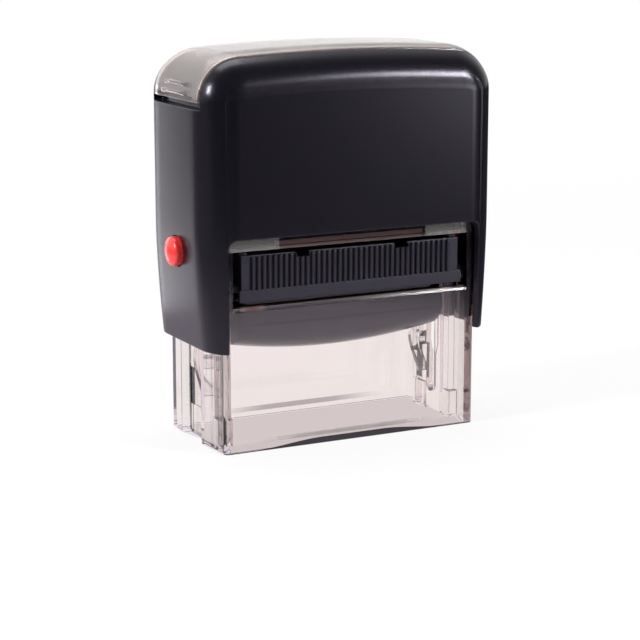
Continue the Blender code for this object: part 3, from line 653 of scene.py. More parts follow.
@known
def clear_styrene(colours):
    # Polished clear polystyrene: glassy faces, smoky through its thickness, with painted shade in darker
    # brown down the right front corner and on the posts. The front wall's top edge is lightly frosted, the
    # crossbar's ends are painted lighter as painted light, the foot rim has a painted grey shadow behind and
    # a painted pale glint in front, painted shadow lies under the front edge and in the end grooves, and a
    # red reflection of the die is painted on the top edge
    material, tree = new_material("Clear polystyrene")
    place = add_node(tree, "TexCoord").outputs["Object"]
    x, y, z = add_node(tree, "SeparateXYZ", {0: place}).outputs
    across = add_node(tree, "Math", {0: x}, operation="ABSOLUTE")
    front = (y, -BASE_HIGH.y - CUT_PAST, -BASE_HIGH.y + WALL / 2)
    outside = END_OUT + CUT_PAST

    # Painted shadow in a bow under the front edge, and painted shade in a streak in each end groove
    bow = add_node(tree, "MapRange", {"Value": across, "From Min": BOW_FULL, "From Max": BOW_END,
                                      "To Min": 1.0, "To Max": 0.0}, interpolation_type="SMOOTHSTEP")
    foot_shadow_height = add_node(tree, "Math", {0: bow, 1: BOW_TALL, 2: BOW_LEAST}, operation="MULTIPLY_ADD")
    low = add_node(tree, "Math", {0: z, 1: foot_shadow_height}, operation="LESS_THAN")
    foot = add_node(tree, "Math", {0: low, 1: region(tree, front)}, operation="MULTIPLY")
    groove = region(tree, (y, *GROOVE_SHADE_Y), (z, *GROOVE_SHADE_Z), (across, GROOVE_X - GROOVE_SKIN, outside))
    ink = add_node(tree, "Math", {0: foot, 1: groove}, operation="MAXIMUM")

    # Slope of the foot rim behind and in front, along the bow: painted grey shadow behind, a painted pale
    # glint in front
    slope = (z, RIM_TALL, RIM_TALL + RIM_SLOPE)
    reach = HOLLOW_HALF + NUDGE
    rims = [region(tree, (y, *ends), slope) for ends in ((0.0, reach), (-reach, 0.0))]
    back_rim_shadow, front_rim_glint = [add_node(tree, "Math", {0: rim, 1: bow}, operation="MULTIPLY") for rim in rims]

    # Painted shade: darker brown down the right front corner, and the same brown on the tops of the foot
    # posts
    right = region(tree, (x, END_IN - CORNER_IN, outside), front)
    post = region(tree, (z, POST_TALL - POST_SKIN, POST_TALL + POST_SKIN), (across, POST_X, END_IN),
                  (y, POST_FRONT, POST_FRONT + POST_SIDE))
    corner = add_node(tree, "Math", {0: right, 1: post}, operation="MAXIMUM")

    # Frosted top edge of the front wall with a painted red reflection of the die near its left end, and
    # painted light on the crossbar's ends
    sill = region(tree, (z, FRONT_WALL_TOP - SILL_FROST, FRONT_WALL_TOP + SILL_FROST), front)
    off = add_node(tree, "Math", {0: x, 1: RED_REFLECTION_X}, operation="SUBTRACT")
    away = add_node(tree, "Math", {0: off}, operation="ABSOLUTE")
    drop = add_node(tree, "MapRange", {"Value": away, "From Min": RED_REFLECTION_FULL, "From Max": RED_REFLECTION_END,
                                       "To Min": 0.8, "To Max": 0.0}, interpolation_type="SMOOTHSTEP")
    red_reflection = add_node(tree, "Math", {0: sill, 1: drop}, operation="MULTIPLY")
    # Painted light: the crossbar's ends lose some clearness and show pale, standing in for light carried
    # along the bar
    painted_crossbar_light = region(tree, (z, WINDOW_TOP + NUDGE, BASE_HIGH.z + CUT_PAST), (across, STRIP_HALF, outside))

    # Painted shadow, shade and red reflection go into the colour; painted light, the glint, the reflection
    # and the shadow take away clearness
    shade = colours.clear
    tones = (back_rim_shadow, colours.rim), (corner, colours.corner), (ink, colours.foot), (red_reflection, colours.ink)
    for mask, tone in tones:
        shade = add_node(tree, "Mix", {0: mask, 6: shade, 7: tone}, data_type="RGBA")
    clarity = 1.0
    for mask, loss in ((painted_crossbar_light, 0.16), (front_rim_glint, 0.8), (red_reflection, 0.5), (ink, 1.0)):
        clarity = add_node(tree, "Math", {0: mask, 1: -loss, 2: clarity}, operation="MULTIPLY_ADD",
                           use_clamp=True)
    rough = add_node(tree, "Math", {0: sill, 1: 0.08, 2: 0.02}, operation="MULTIPLY_ADD")
    flow = add_node(tree, "TexNoise", {"Vector": place, "Scale": 1 / (6 * MM), "Detail": 0.0})
    bump = add_node(tree, "Bump", {"Height": flow, "Distance": 0.02 * MM, "Strength": 0.3})
    shader = add_node(tree, "BsdfPrincipled", {
        "Base Color": shade, "Transmission Weight": clarity, "IOR": STYRENE_IOR, "Roughness": rough,
        "Normal": bump})
    smoke = add_node(tree, "VolumeAbsorption", {"Color": colours.smoke, "Density": 50.0})
    add_node(tree, "OutputMaterial", {"Surface": shader, "Volume": smoke})
    return material


# Cap

def drawn_in(y, half_depth, edge):
    """How far a rounded front or back edge has drawn a surface in at a depth."""
    past = min(edge, max(0.0, abs(y) - (half_depth - edge)))
    return edge - math.sqrt(edge ** 2 - past ** 2)


def cap_taper(sizes, z):
    """How far the cap's ends draw in at a height."""
    share = max(0.0, CAP_LOW.z + sizes.taper_tall - z) / sizes.taper_tall
    return sizes.cap_taper * share ** 1.6


def cap_hub(sizes):
    """Centre of the rounding between the cap's top and its right end."""
    x = CAP_HIGH.x - sizes.cap_corner
    return x, CAP_TOP - x ** 2 / (2 * sizes.cap_arch) - sizes.cap_corner


def cap_point(sizes, row, y, inset=0.0, hold=0.0):
    """A point of the cap's right-hand outline at a depth. The row is a height on the end, a turn on the
    corner or a place along X on the crown. Hold is how much of the taper is held back."""
    hub_x, hub_z = cap_hub(sizes)
    side_in = inset + drawn_in(y, CAP_HIGH.y, sizes.upright_edge)
    top_in = inset + drawn_in(y, CAP_HIGH.y, sizes.top_edge)
    where, value = row
    if where == "end":
        return CAP_HIGH.x - side_in - (1 - hold) * cap_taper(sizes, value), value
    if where == "corner":
        return (hub_x + (sizes.cap_corner - side_in) * math.cos(value),
                hub_z + (sizes.cap_corner - top_in) * math.sin(value))
    return value, CAP_TOP - top_in - value ** 2 / (2 * sizes.cap_arch)


def over_the_top(rows):
    """Rows of the right half, then of the left half back down, each with its side."""
    return [(1, row) for row in rows] + [(-1, row) for row in reversed(rows[:-1])]


def corner_rows(turns):
    return [("corner", math.radians(turn)) for turn in turns]


def crown_rows(sizes):
    hub_x = cap_hub(sizes)[0]
    return [("crown", hub_x * (1 - i / CROWN_STEPS)) for i in range(1, CROWN_STEPS + 1)]


def cap_depths(sizes):
    """Places along Y of the cap's sections from front to back, with the numbers of the sections on the
    notch's edge and on the channel's front edge."""
    edge = sizes.upright_edge
    flat = CAP_HIGH.y - edge
    draw = CAP_HIGH.x - sizes.notch_half
    marks = [math.acos(1 - (draw + shift) / edge) for shift in (0, -sizes.crease_half, sizes.crease_half)]
    marks.append(math.asin((COVER_HIGH.y + SEAT_GAP - flat) / edge))
    even = [math.radians(turn) for turn in QUARTER]
    clear_of = [turn for turn in even if all(abs(turn - mark) > MARK_ROOM for mark in marks)]
    turns = sorted(marks + clear_of, reverse=True)
    front = [-flat - edge * math.sin(turn) for turn in turns]
    front += [-(CAP_HIGH.y - sizes.top_edge), -(CAP_HIGH.y - sizes.top_edge) / 2]
    return front + [0.0] + [-y for y in reversed(front)], turns.index(marks[0]), turns.index(marks[3])


def notch_edge(sizes, x):
    """Height of the notch's upper edge at a place along X, with its round corner."""
    past = max(0.0, abs(x) - (sizes.notch_half - sizes.notch_corner))
    past = min(past, sizes.notch_corner)
    return sizes.notch_top - sizes.notch_corner + math.sqrt(sizes.notch_corner ** 2 - past ** 2)


def ease(low, high, value):
    """0 below low, 1 above high and a smooth rise between them."""
    share = min(1.0, max(0.0, (value - low) / (high - low)))
    return share * share * (3 - 2 * share)


def cap_skin(sizes):
    """The cap's outer skin: arched sections from front to back, left open at the hem and the notch, with
    the index channel sunk along the top."""
    depths, notch, channel = cap_depths(sizes)
    lip = COVER_LOW.z - sizes.finger_gap
    heights = [CAP_LOW.z + step for step in HEM_STEPS]
    heights += [sizes.notch_top, sizes.notch_top + NOTCH_ROW, *PANEL_ROWS, lip]
    rows = [("end", z) for z in heights] + corner_rows(QUARTER) + crown_rows(sizes)
    foot, sill = heights.index(sizes.notch_top), heights.index(lip)
    line = over_the_top(rows)
    last, back = len(line) - 1, len(depths) - 1
    draw = CAP_HIGH.x - sizes.notch_half
    crease_top = cap_hub(sizes)[1] + CREASE_PAST
    shape = bmesh.new()
    skin, sunk = [], []
    for i, y in enumerate(depths):
        hold = min(1.0, drawn_in(y, CAP_HIGH.y, sizes.upright_edge) / draw) if i < back / 2 else 0.0
        ring = []
        for j, (side, row) in enumerate(line):
            x, z = cap_point(sizes, row, y, 0.0, hold)
            if i <= notch and j in (foot, last - foot):
                z = notch_edge(sizes, x)
            groove = 0.0
            if i == notch:
                groove = sizes.crease_deep * ease(sizes.notch_top, sizes.notch_top + CREASE_RISE, z)
                groove *= 1 - ease(crease_top, crease_top + CREASE_FADE, z)
            ring.append(shape.verts.new((side * (x - groove / 2), y + groove, z)))
        skin.append(ring)
        floor = [cap_point(sizes, row, y, sizes.channel) for side, row in line]
        sunk.append([Vector((side * x, y, z)) for (side, row), (x, z) in zip(line, floor)])

    def solid(i, j):
        in_notch = i < notch and not foot <= j < last - foot
        in_channel = channel <= i < back - channel and sill <= j < last - sill
        return not in_notch and not in_channel

    quads(shape, skin, solid)
    shape.faces.new(skin[0][foot:last - foot + 1])
    shape.faces.new(skin[-1])
    reach = slice(sill, last - sill + 1)
    floor = [[shape.verts.new(point) for point in ring[reach]] for ring in sunk[channel:back - channel + 1]]
    rim = [ring[reach] for ring in skin[channel:back - channel + 1]]
    quads(shape, floor)
    for end in (0, -1):
        quads(shape, [rim[end], floor[end]])
    for end in (0, -1):
        quads(shape, [[ring[end] for ring in rim], [ring[end] for ring in floor]])
    bmesh.ops.delete(shape, geom=[v for v in shape.verts if not v.link_faces], context="VERTS")
    return shape


def make_cap(sizes, colours):
    cap = piece_from("cap", cap_skin(sizes))
    outwards = max(cap.data.polygons, key=lambda face: face.area)
    if outwards.normal.y * outwards.center.y < 0:
        cap.data.flip_normals()
    walls = cap.modifiers.new("Walls", "SOLIDIFY")
    walls.thickness = sizes.cap_wall
    walls.offset = -1.0
    walls.use_even_offset = True
    for side, tag in SIDES:
        carve(cap, round_bar(f"button_hole_{tag}", side, END_OUT, CAP_HIGH.x + CUT_PAST, LOCK_Z,
                             BUTTON_RADIUS + BUTTON_ROOM, 48))
    soften(cap, sizes.edge_break)
    finish(cap, black_abs(colours), "cap", "black_abs", "cap_shell")


# Index cover and card

def cover_depths(sizes):
    """Places along Y of the cover's sections, closer at its long edges and where the ridges fade."""
    places = [COVER_HIGH.y * share for share in (1, 0.95, 0.88, 0.8, 0.7, 0.6)]
    places += [sizes.ridge_half + shift for shift in (LIP_FADE, 0, -LIP_FADE)] + [2 * MM]
    return [-y for y in places] + [0.0] + places[::-1]


def cover_grid(sizes, rows, inset, ridged):
    grid = []
    for y in cover_depths(sizes):
        fade = 1 - ease(sizes.ridge_half - LIP_FADE, sizes.ridge_half + LIP_FADE, abs(y))
        line = []
        for side, row in over_the_top(rows):
            x, z = cap_point(sizes, row, y, inset)
            if ridged:
                share = (z - COVER_LOW.z) / sizes.ridge_step - LIP_START
                if 0 <= share < LIP_RIDGES and share % 1 < 0.5:
                    x += fade * sizes.ridge_out * math.sin(math.pi * (share % 1) * 2) ** 0.7
            line.append((side * x, y, z))
        grid.append(line)
    return grid


def make_index(sizes, colours):
    turns = [*range(LIP_TURN), *(LIP_TURN + (90 - LIP_TURN) * i / 12 for i in range(1, 13))]
    rows = [("end", COVER_LOW.z)] + corner_rows(turns) + crown_rows(sizes)
    cover = sheet("index_cover_clear", cover_grid(sizes, rows, 0.0, True),
                  cover_grid(sizes, rows, sizes.cover_thick, False))
    soften(cover, sizes.edge_break, angle=50)
    finish(cover, clear_cover(colours), "cover", "clear_cover", "index_cover")
    top, back = [], []
    for i in range(9):
        y = CARD_LOW.y + (CARD_HIGH.y - CARD_LOW.y) * i / 8
        xs = [CARD_LOW.x + (CARD_HIGH.x - CARD_LOW.x) * k / 24 for k in range(25)]
        lift = CARD_HIGH.z - drawn_in(y, CAP_HIGH.y, sizes.top_edge)
        top.append([(x, y, lift - x ** 2 / (2 * sizes.cap_arch)) for x in xs])
        back.append([(x, y, z - CARD_THICK) for x, y, z in top[-1]])
    finish(sheet("index_card_stock", top, back), card_stock(colours), "cap", "white_card", "index_card")


# Clear base

def base_plan():
    """The base seen from above: flat front and back, end walls that bow out."""
    reach = BASE_HIGH.y - BASE_CORNER
    points = arc((BASE_HALF_W - BASE_CORNER, -reach), BASE_CORNER, -90, 0, 6)
    for i in range(1, 24):
        y = reach * (i / 12 - 1)
        points.append((BASE_HALF_W + END_BULGE * (1 - (y / reach) ** 2), y))
    points += arc((BASE_HALF_W - BASE_CORNER, reach), BASE_CORNER, 0, 90, 6)
    return points + [(-x, y) for x, y in reversed(points)]


def cam_offset(distance, steps=40):
    """A line beside the cam peg's path, in Y and Z, at a distance from it."""
    points = []
    for i in range(steps + 1):
        turn = math.pi * i / steps
        y = CRANK * math.sin(turn)
        z = AXLE_Z - TRAVEL * i / steps - CRANK * math.cos(turn)
        slope_y = CRANK * math.pi * math.cos(turn)
        slope_z = -TRAVEL + CRANK * math.pi * math.sin(turn)
        size = math.hypot(slope_y, slope_z)
        points.append((y - distance * slope_z / size, z + distance * slope_y / size))
    return points


def base_end(base, side, tag):
    """The ridge, rail, foot posts, cam track and spring post at one end, then the cuts through them."""
    rooted = END_IN + OVERLAP
    rail_top = PAD_Z - RAIL_DROP
    block_front = SLOT_HALF + OVERLAP / 2
    blocks = (
        ("ridge", RIDGE_X, (-RIDGE_HALF, OVERLAP), (RIDGE_HALF, FRONT_WALL_TOP)),
        ("rail", TRAY_HALF_L - SEAT_GAP, (-HOLLOW_HALF + SEAT_GAP, rail_top - RAIL_THICK),
         (HOLLOW_HALF + OVERLAP, rail_top)),
        ("ridge_top", END_IN - SEAT_GAP, (-RIDGE_HALF, FRONT_WALL_TOP - OVERLAP),
         (RIDGE_HALF, DECK_Z + OVERLAP)),
        ("front_post", POST_X, (POST_FRONT, OVERLAP / 2), (POST_FRONT + POST_SIDE, POST_TALL)),
        ("back_block", POST_X, (block_front, OVERLAP / 2), (block_front + BLOCK_LONG, BLOCK_TALL)),
    )
    for name, near, low, high in blocks:
        join(base, end_slab(f"{name}_{tag}", side, near, rooted, low, high))
    track = span(side, TRACK_IN, RIDGE_X + OVERLAP)
    wall = cam_offset(TRACK_GAP) + cam_offset(TRACK_GAP + TRACK_WALL)[::-1]
    join(base, prism(f"cam_wall_{tag}", "X", wall, *track))
    island = [point for point in cam_offset(-TRACK_GAP) if point[0] > block_front]
    island += [(0, island[-1][1]), (0, island[0][1])]
    join(base, prism(f"cam_island_{tag}", "X", island, *track))
    spring_x = (SPRING_LOW.x + SPRING_HIGH.x) / 2
    join(base, prism(f"spring_post_{tag}", "Z", arc((side * spring_x, 0), SPRING_POST, 0, 360, 40)[:-1],
                     DECK_TOP - OVERLAP, BASE_HIGH.z))
    past = END_OUT + CUT_PAST
    carve(base, end_slab(f"groove_{tag}", side, GROOVE_X, past, (ARM_SHIFT - GROOVE_HALF, -CUT_PAST),
                         (ARM_SHIFT + GROOVE_HALF, DECK_TOP + CUT_PAST)))
    low_axle = AXLE_Z - TRAVEL
    slot = arc((0, low_axle), SLOT_HALF, 180, 360, 16) + arc((0, AXLE_Z), SLOT_HALF, 0, 180, 16)
    carve(base, prism(f"axle_slot_{tag}", "X", slot, *span(side, TRACK_IN - CUT_PAST, past)))
    funnel = mirrored([(SLOT_HALF / 2, low_axle + FUNNEL_LOW), (FUNNEL_HALF, low_axle + FUNNEL_WIDE),
                       (FUNNEL_HALF, AXLE_Z)])
    carve(base, prism(f"funnel_{tag}", "X", funnel, *span(side, GROOVE_X - FUNNEL_DEEP, past)))
    carve(base, round_bar(f"lock_hole_{tag}", side, END_IN - OVERLAP, END_OUT, LOCK_Z, STEM_HOLE))


def make_base(colours):
    window_half = END_IN - SEAT_GAP
    base = prism("clear_base", "Z", base_plan(), 0.0, DECK_TOP)
    rim = HOLLOW_HALF - RIM_PROUD
    hollow = mirrored([(rim, -CUT_PAST), (rim, RIM_TALL), (HOLLOW_HALF, RIM_TALL + RIM_SLOPE),
                       (HOLLOW_HALF, DECK_Z)])
    carve(base, prism("hollow", "X", hollow, -END_IN, END_IN))
    sill = FRONT_WALL_TOP - SILL_ROUND
    front = -BASE_HIGH.y - CUT_PAST
    behind = OVERLAP - HOLLOW_HALF
    rounding = arc((WALL / 2 - BASE_HIGH.y, sill), SILL_ROUND, 180, 0, 12)
    window = [(front, WINDOW_TOP), (front, sill), *rounding, (behind, sill), (behind, WINDOW_TOP)]
    carve(base, prism("pad_window", "X", window, -window_half, window_half))
    strip_low = Vector((-STRIP_HALF, STRIP_BACK - HOLLOW_HALF, WINDOW_TOP + STRIP_RISE))
    strip_high = strip_low + Vector((2 * STRIP_HALF, STRIP_THICK, STRIP_TALL))
    room = Vector((STRIP_ROOM, STRIP_ROOM, STRIP_ROOM))
    carve(base, slab("strip_slot", strip_low - Vector((STRIP_ROOM, STRIP_ROOM, OVERLAP)), strip_high + room))
    for side, tag in SIDES:
        base_end(base, side, tag)
    soften(base, 0.14 * MM, segments=2, angle=40)
    finish(base, clear_styrene(colours), "base", "clear_styrene", "base_frame")
    strip = slab("crossbar_strip", strip_low, strip_high)
    soften(strip, 0.12 * MM)
    finish(strip, brown_strip(colours), "base", "black_abs")


# Ink cassette

def rib_line(sizes, height):
    """Front outline of the ribbed grip at one height share of its ribs, from left to right."""
    pitch = 2 * RIB_HALF / sizes.rib_count
    valley = TRAY_FRONT - GRIP_REACH / 8
    points = [(-RIB_HALF, TRAY_FRONT + OVERLAP)]
    for i in range(sizes.rib_count):
        centre = -RIB_HALF + pitch * (i + 0.5)
        for k in range(9):
            turn = math.pi * k / 8
            points.append((centre - 0.33 * pitch * math.cos(turn),
                           valley - height * (TRAY_FRONT - TRAY_LOW.y) * math.sin(turn) ** 0.6))
    return points + [(RIB_HALF, TRAY_FRONT + OVERLAP)]


def cut_nicks(piece, name, back):
    """Cuts the two nicks in the grip's top edge, from its front back to a place along Y."""
    for side, tag in SIDES:
        middle = side * NICK_X
        carve(piece, slab(f"{name}_{tag}", (middle - NICK_HALF, TRAY_FRONT - CUT_PAST, GRIP_HIGH - NICK_DEEP),
                          (middle + NICK_HALF, back, GRIP_HIGH + CUT_PAST)))


def make_cassette(sizes, colours):
    """The ink cassette: a tray open downwards for the felt and hollow on top, with a ribbed grip across its
    front."""
    tray = slab("ink_cassette", (-TRAY_HALF_L, TRAY_FRONT + GRIP_PLATE, PAD_Z),
                (TRAY_HALF_L, TRAY_HIGH.y, TRAY_HIGH.z))
    pocket = (FELT_HIGH.x + SEAT_GAP, FELT_HIGH.y + SEAT_GAP)
    pocket_top = FELT_HIGH.z + SEAT_GAP
    carve(tray, slab("felt_pocket", (-pocket[0], -pocket[1], PAD_Z - CUT_PAST), (*pocket, pocket_top)))
    join(tray, slab("grip_plate", (-TRAY_HALF_L, TRAY_FRONT, GRIP_LOW + OVERLAP / 4),
                    (TRAY_HALF_L, TRAY_FRONT + GRIP_PLATE + OVERLAP / 2, GRIP_HIGH)))
    join(tray, slab("grip_band", (-TRAY_HALF_L - GRIP_REACH, TRAY_FRONT - GRIP_REACH * 0.9, GRIP_LOW),
                    (TRAY_HALF_L + GRIP_REACH, TRAY_FRONT + GRIP_PLATE / 2, RIB_LOW)))
    for side, tag in SIDES:
        join(tray, end_slab(f"flange_{tag}", side, TRAY_HALF_L - OVERLAP, TRAY_HIGH.x,
                            (TRAY_FRONT + GRIP_PLATE + OVERLAP, PAD_Z + FLANGE_RISE),
                            (TRAY_HIGH.y - OVERLAP, PAD_Z + FLANGE_RISE + FLANGE_THICK)))
    carve(tray, slab("top_well", (-pocket[0], TRAY_FRONT + GRIP_PLATE, pocket_top + WELL_FLOOR),
                     (pocket[0], TRAY_HIGH.y - WELL_WALL, TRAY_HIGH.z + CUT_PAST)))
    cut_nicks(tray, "plate_nick", TRAY_FRONT + GRIP_PLATE + OVERLAP)
    soften(tray, 0.15 * MM)
    ends = [(RIB_LOW - OVERLAP / 4, 1.0)] + [(GRIP_HIGH - drop, share) for drop, share in RIB_FADES]
    ribs = loft("grip_ribs", [[(x, y, z) for x, y in rib_line(sizes, share)] for z, share in ends])
    cut_nicks(ribs, "rib_nick", TRAY_FRONT + CUT_PAST)
    merge(tray, ribs)
    finish(tray, dull_abs(colours), "pad", "black_abs", "pad_tray")
    felt = pad_of("ink_felt", FELT_LOW, FELT_HIGH, 0.12 * MM, 0.5 * MM)
    finish(felt, inked_felt(colours), "pad", "inked_felt", "ink_pad")


def pad_of(name, low, high, belly, edge):
    """A pad with soft edges whose sides swell a little between top and bottom."""
    rings = []
    for i in range(13):
        turn = math.pi * (i / 12 - 0.5)
        z = low.z + (high.z - low.z) * i / 12
        inset = edge * (1 - math.cos(turn) ** 0.35) - belly * math.cos(turn) + belly
        half = (high.x - inset - PAD_CORNER, high.y - inset - PAD_CORNER)
        ring = []
        for quarter, (sx, sy) in enumerate(((1, 1), (-1, 1), (-1, -1), (1, -1))):
            ring += arc((sx * half[0], sy * half[1]), PAD_CORNER, 90 * quarter, 90 * quarter + 90, 6)
        rings.append([(x, y, z) for x, y in ring])
    return loft(name, rings)


# Die

def holder_section(x, inset):
    """The die block's section at a place along it: a flat carrier over a round belly, with a seam between."""
    half = HOLDER_HIGH.y - inset
    belly = (AXLE_Z - HOLDER_LOW.z) - BELLY_RISE * (x / HOLDER_HIGH.x) ** 2 - inset
    top = HOLDER_HIGH.z - AXLE_Z - inset
    side = [(0.0, -belly)]
    for i in range(23, -1, -1):
        turn = math.pi / 2 * i / 24
        side.append(((half - BELLY_IN) * math.cos(turn), SEAM_Z - (belly + SEAM_Z) * math.sin(turn)))
    side += [(y, SEAM_Z + rise) for y, rise in zip((half - SEAM_DEEP, half - SEAM_DEEP, half), SEAM_STEPS)]
    side += arc((half - HOLDER_EDGE, top - HOLDER_EDGE), HOLDER_EDGE, 0, 90, 4)
    return [(x, y, z + AXLE_Z) for y, z in mirrored(side)]


def make_die(colours):
    flat = HOLDER_HIGH.x - HOLDER_EDGE
    edge = ((1, 1), (0.7, 0.3), (0, 0))
    stations = [(flat + HOLDER_EDGE * out, HOLDER_EDGE * inset) for out, inset in edge]
    stations += [(flat * (1 - i / 20), 0.0) for i in range(1, 20)]
    stations += [(0.0, 0.0)] + [(-x, inset) for x, inset in reversed(stations)]
    holder = loft("die_block", [holder_section(x, inset) for x, inset in stations])
    near, far = HOLDER_HIGH.x - BORE_DEEP, HOLDER_HIGH.x + CUT_PAST
    for side, tag in SIDES:
        for name, z, radius in (("axle_bore", AXLE_Z, AXLE_BORE), ("peg_bore", AXLE_Z - CRANK, PEG_BORE)):
            carve(holder, round_bar(f"{name}_{tag}", side, near, far, z, radius))
    finish(holder, black_abs(colours), "die", "black_abs", "die_holder")
    foam = pad_of("die_foam", FOAM_LOW, FOAM_HIGH, 0.1 * MM, 0.1 * MM)
    finish(foam, foam_tape(colours), "die", "foam_tape", "die_cushion")
    finish(make_rubber(), stained_rubber(colours), "die", "red_rubber", "rubber_die")


def make_rubber():
    """The rubber sheet with a plain raised frame and three raised bars, as an unlettered text plate."""
    face = RUBBER_LOW.z + PRINT_FLOOR
    half_x, half_y = RUBBER_HIGH.x, RUBBER_HIGH.y

    def plate(name, inset, low, high):
        return slab(name, (inset - half_x, inset - half_y, low), (half_x - inset, half_y - inset, high))

    rubber = plate("print_rubber", 0.0, RUBBER_LOW.z, face)
    for i, (reach, middle) in enumerate(BARS):
        join(rubber, slab(f"bar_{i}", (-reach, middle - BAR_HALF, face - OVERLAP),
                          (reach, middle + BAR_HALF, RUBBER_HIGH.z)))
    border = plate("frame", FRAME_OUT, face - OVERLAP, RUBBER_HIGH.z)
    carve(border, plate("frame_gap", FRAME_IN, face - CUT_PAST, RUBBER_HIGH.z + CUT_PAST))
    join(rubber, settle(border))
    soften(rubber, 0.08 * MM, segments=2)
    return rubber


# Lock buttons, springs and linkage

def make_buttons(sizes, colours):
    face = BUTTON_HIGH.x
    inside = face - BUTTON_PROUD - sizes.cap_wall - SEAT_GAP
    collar = inside - COLLAR_THICK
    reach = BUTTON_RADIUS - BUTTON_EDGE * (1 - math.sin(BUTTON_LEAN))
    crown = reach * math.tan(BUTTON_LEAN) / 2
    dome = [(face - crown * (k / 8) ** 2, reach * k / 8) for k in range(9)]
    dome[0] = (face, TIP)
    hub = (face - crown - BUTTON_EDGE * math.cos(BUTTON_LEAN), BUTTON_RADIUS - BUTTON_EDGE)
    profile = dome + arc(hub, BUTTON_EDGE, 35, 90, 5) + [
        (inside, BUTTON_RADIUS), (inside, BUTTON_HIGH.y), (collar, BUTTON_HIGH.y), (collar, STEM),
        (BUTTON_LOW.x, STEM), (BUTTON_LOW.x, TIP)]
    for side, tag in SIDES:
        button = turned(f"button_{tag}", [(side * x, r) for x, r in profile], (0.0, LOCK_Z))
        soften(button, 0.1 * MM, segments=2, angle=60)
        finish(button, red_abs(colours), f"button_{tag}", "red_abs", f"lock_button_{tag}")
        make_leaf(side, tag, colours)


def make_leaf(side, tag, colours):
    """A bowed leaf between the bridge's arm and the button's collar, with a hole for the stem."""
    bow = LEAF_HIGH.x - LEAF_LOW.x - LEAF_THICK
    outer, inner = [], []
    for i in range(41):
        share = i / 20 - 1
        x = LEAF_LOW.x + bow * (1 - share ** 2)
        z = LOCK_Z + share * (LEAF_HIGH.z - LEAF_LOW.z) / 2
        outer.append((side * (x + LEAF_THICK), z))
        inner.append((side * x, z))
    leaf = prism(f"leaf_spring_{tag}", "Y", outer + inner[::-1], LEAF_LOW.y, LEAF_HIGH.y)
    carve(leaf, round_bar(f"leaf_hole_{tag}", side, LEAF_LOW.x - CUT_PAST, LEAF_HIGH.x + CUT_PAST, LOCK_Z,
                          STEM_HOLE))
    soften(leaf, 0.05 * MM, segments=2)
    finish(leaf, ground_steel(colours), "cap", "spring_steel", f"lock_spring_{tag}")
    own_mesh(leaf)


def make_springs(sizes, colours):
    """Return springs wound with a closed turn at each end."""
    radius = (SPRING_HIGH.y - SPRING_LOW.y) / 2 - sizes.wire / 2
    low, high = SPRING_LOW.z + sizes.wire / 2, SPRING_HIGH.z - sizes.wire / 2
    steps = 36
    turns = sizes.coil_turns + 2
    closed = sizes.wire * 1.05
    lead = (high - low - 2 * closed) / sizes.coil_turns
    for side, tag in SIDES:
        centre = side * (SPRING_LOW.x + SPRING_HIGH.x) / 2
        path = []
        for i in range(turns * steps + 1):
            turn = i / steps
            rise = closed * min(turn, 1) + lead * min(max(turn - 1, 0), sizes.coil_turns)
            rise += closed * max(turn - 1 - sizes.coil_turns, 0)
            angle = 2 * math.pi * turn
            path.append(Vector((centre + radius * math.cos(angle), radius * math.sin(angle), low + rise)))
        coil = wire_along(f"coil_{tag}", path, sizes.wire / 2)
        finish(coil, ground_steel(colours), "base", "spring_steel", f"return_spring_{tag}")
        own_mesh(coil)


def dress_node(node, material):
    """Gives a frame node its finish."""
    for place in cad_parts[node].material_slots:
        place.material = material


def dress_linkage(colours):
    dress_node("bridge", black_abs(colours))
    for side, tag in SIDES:
        dress_node(f"axle_pin_{tag}", ground_steel(colours))
        dress_node(f"cam_peg_{tag}", ground_steel(colours))


# Stage

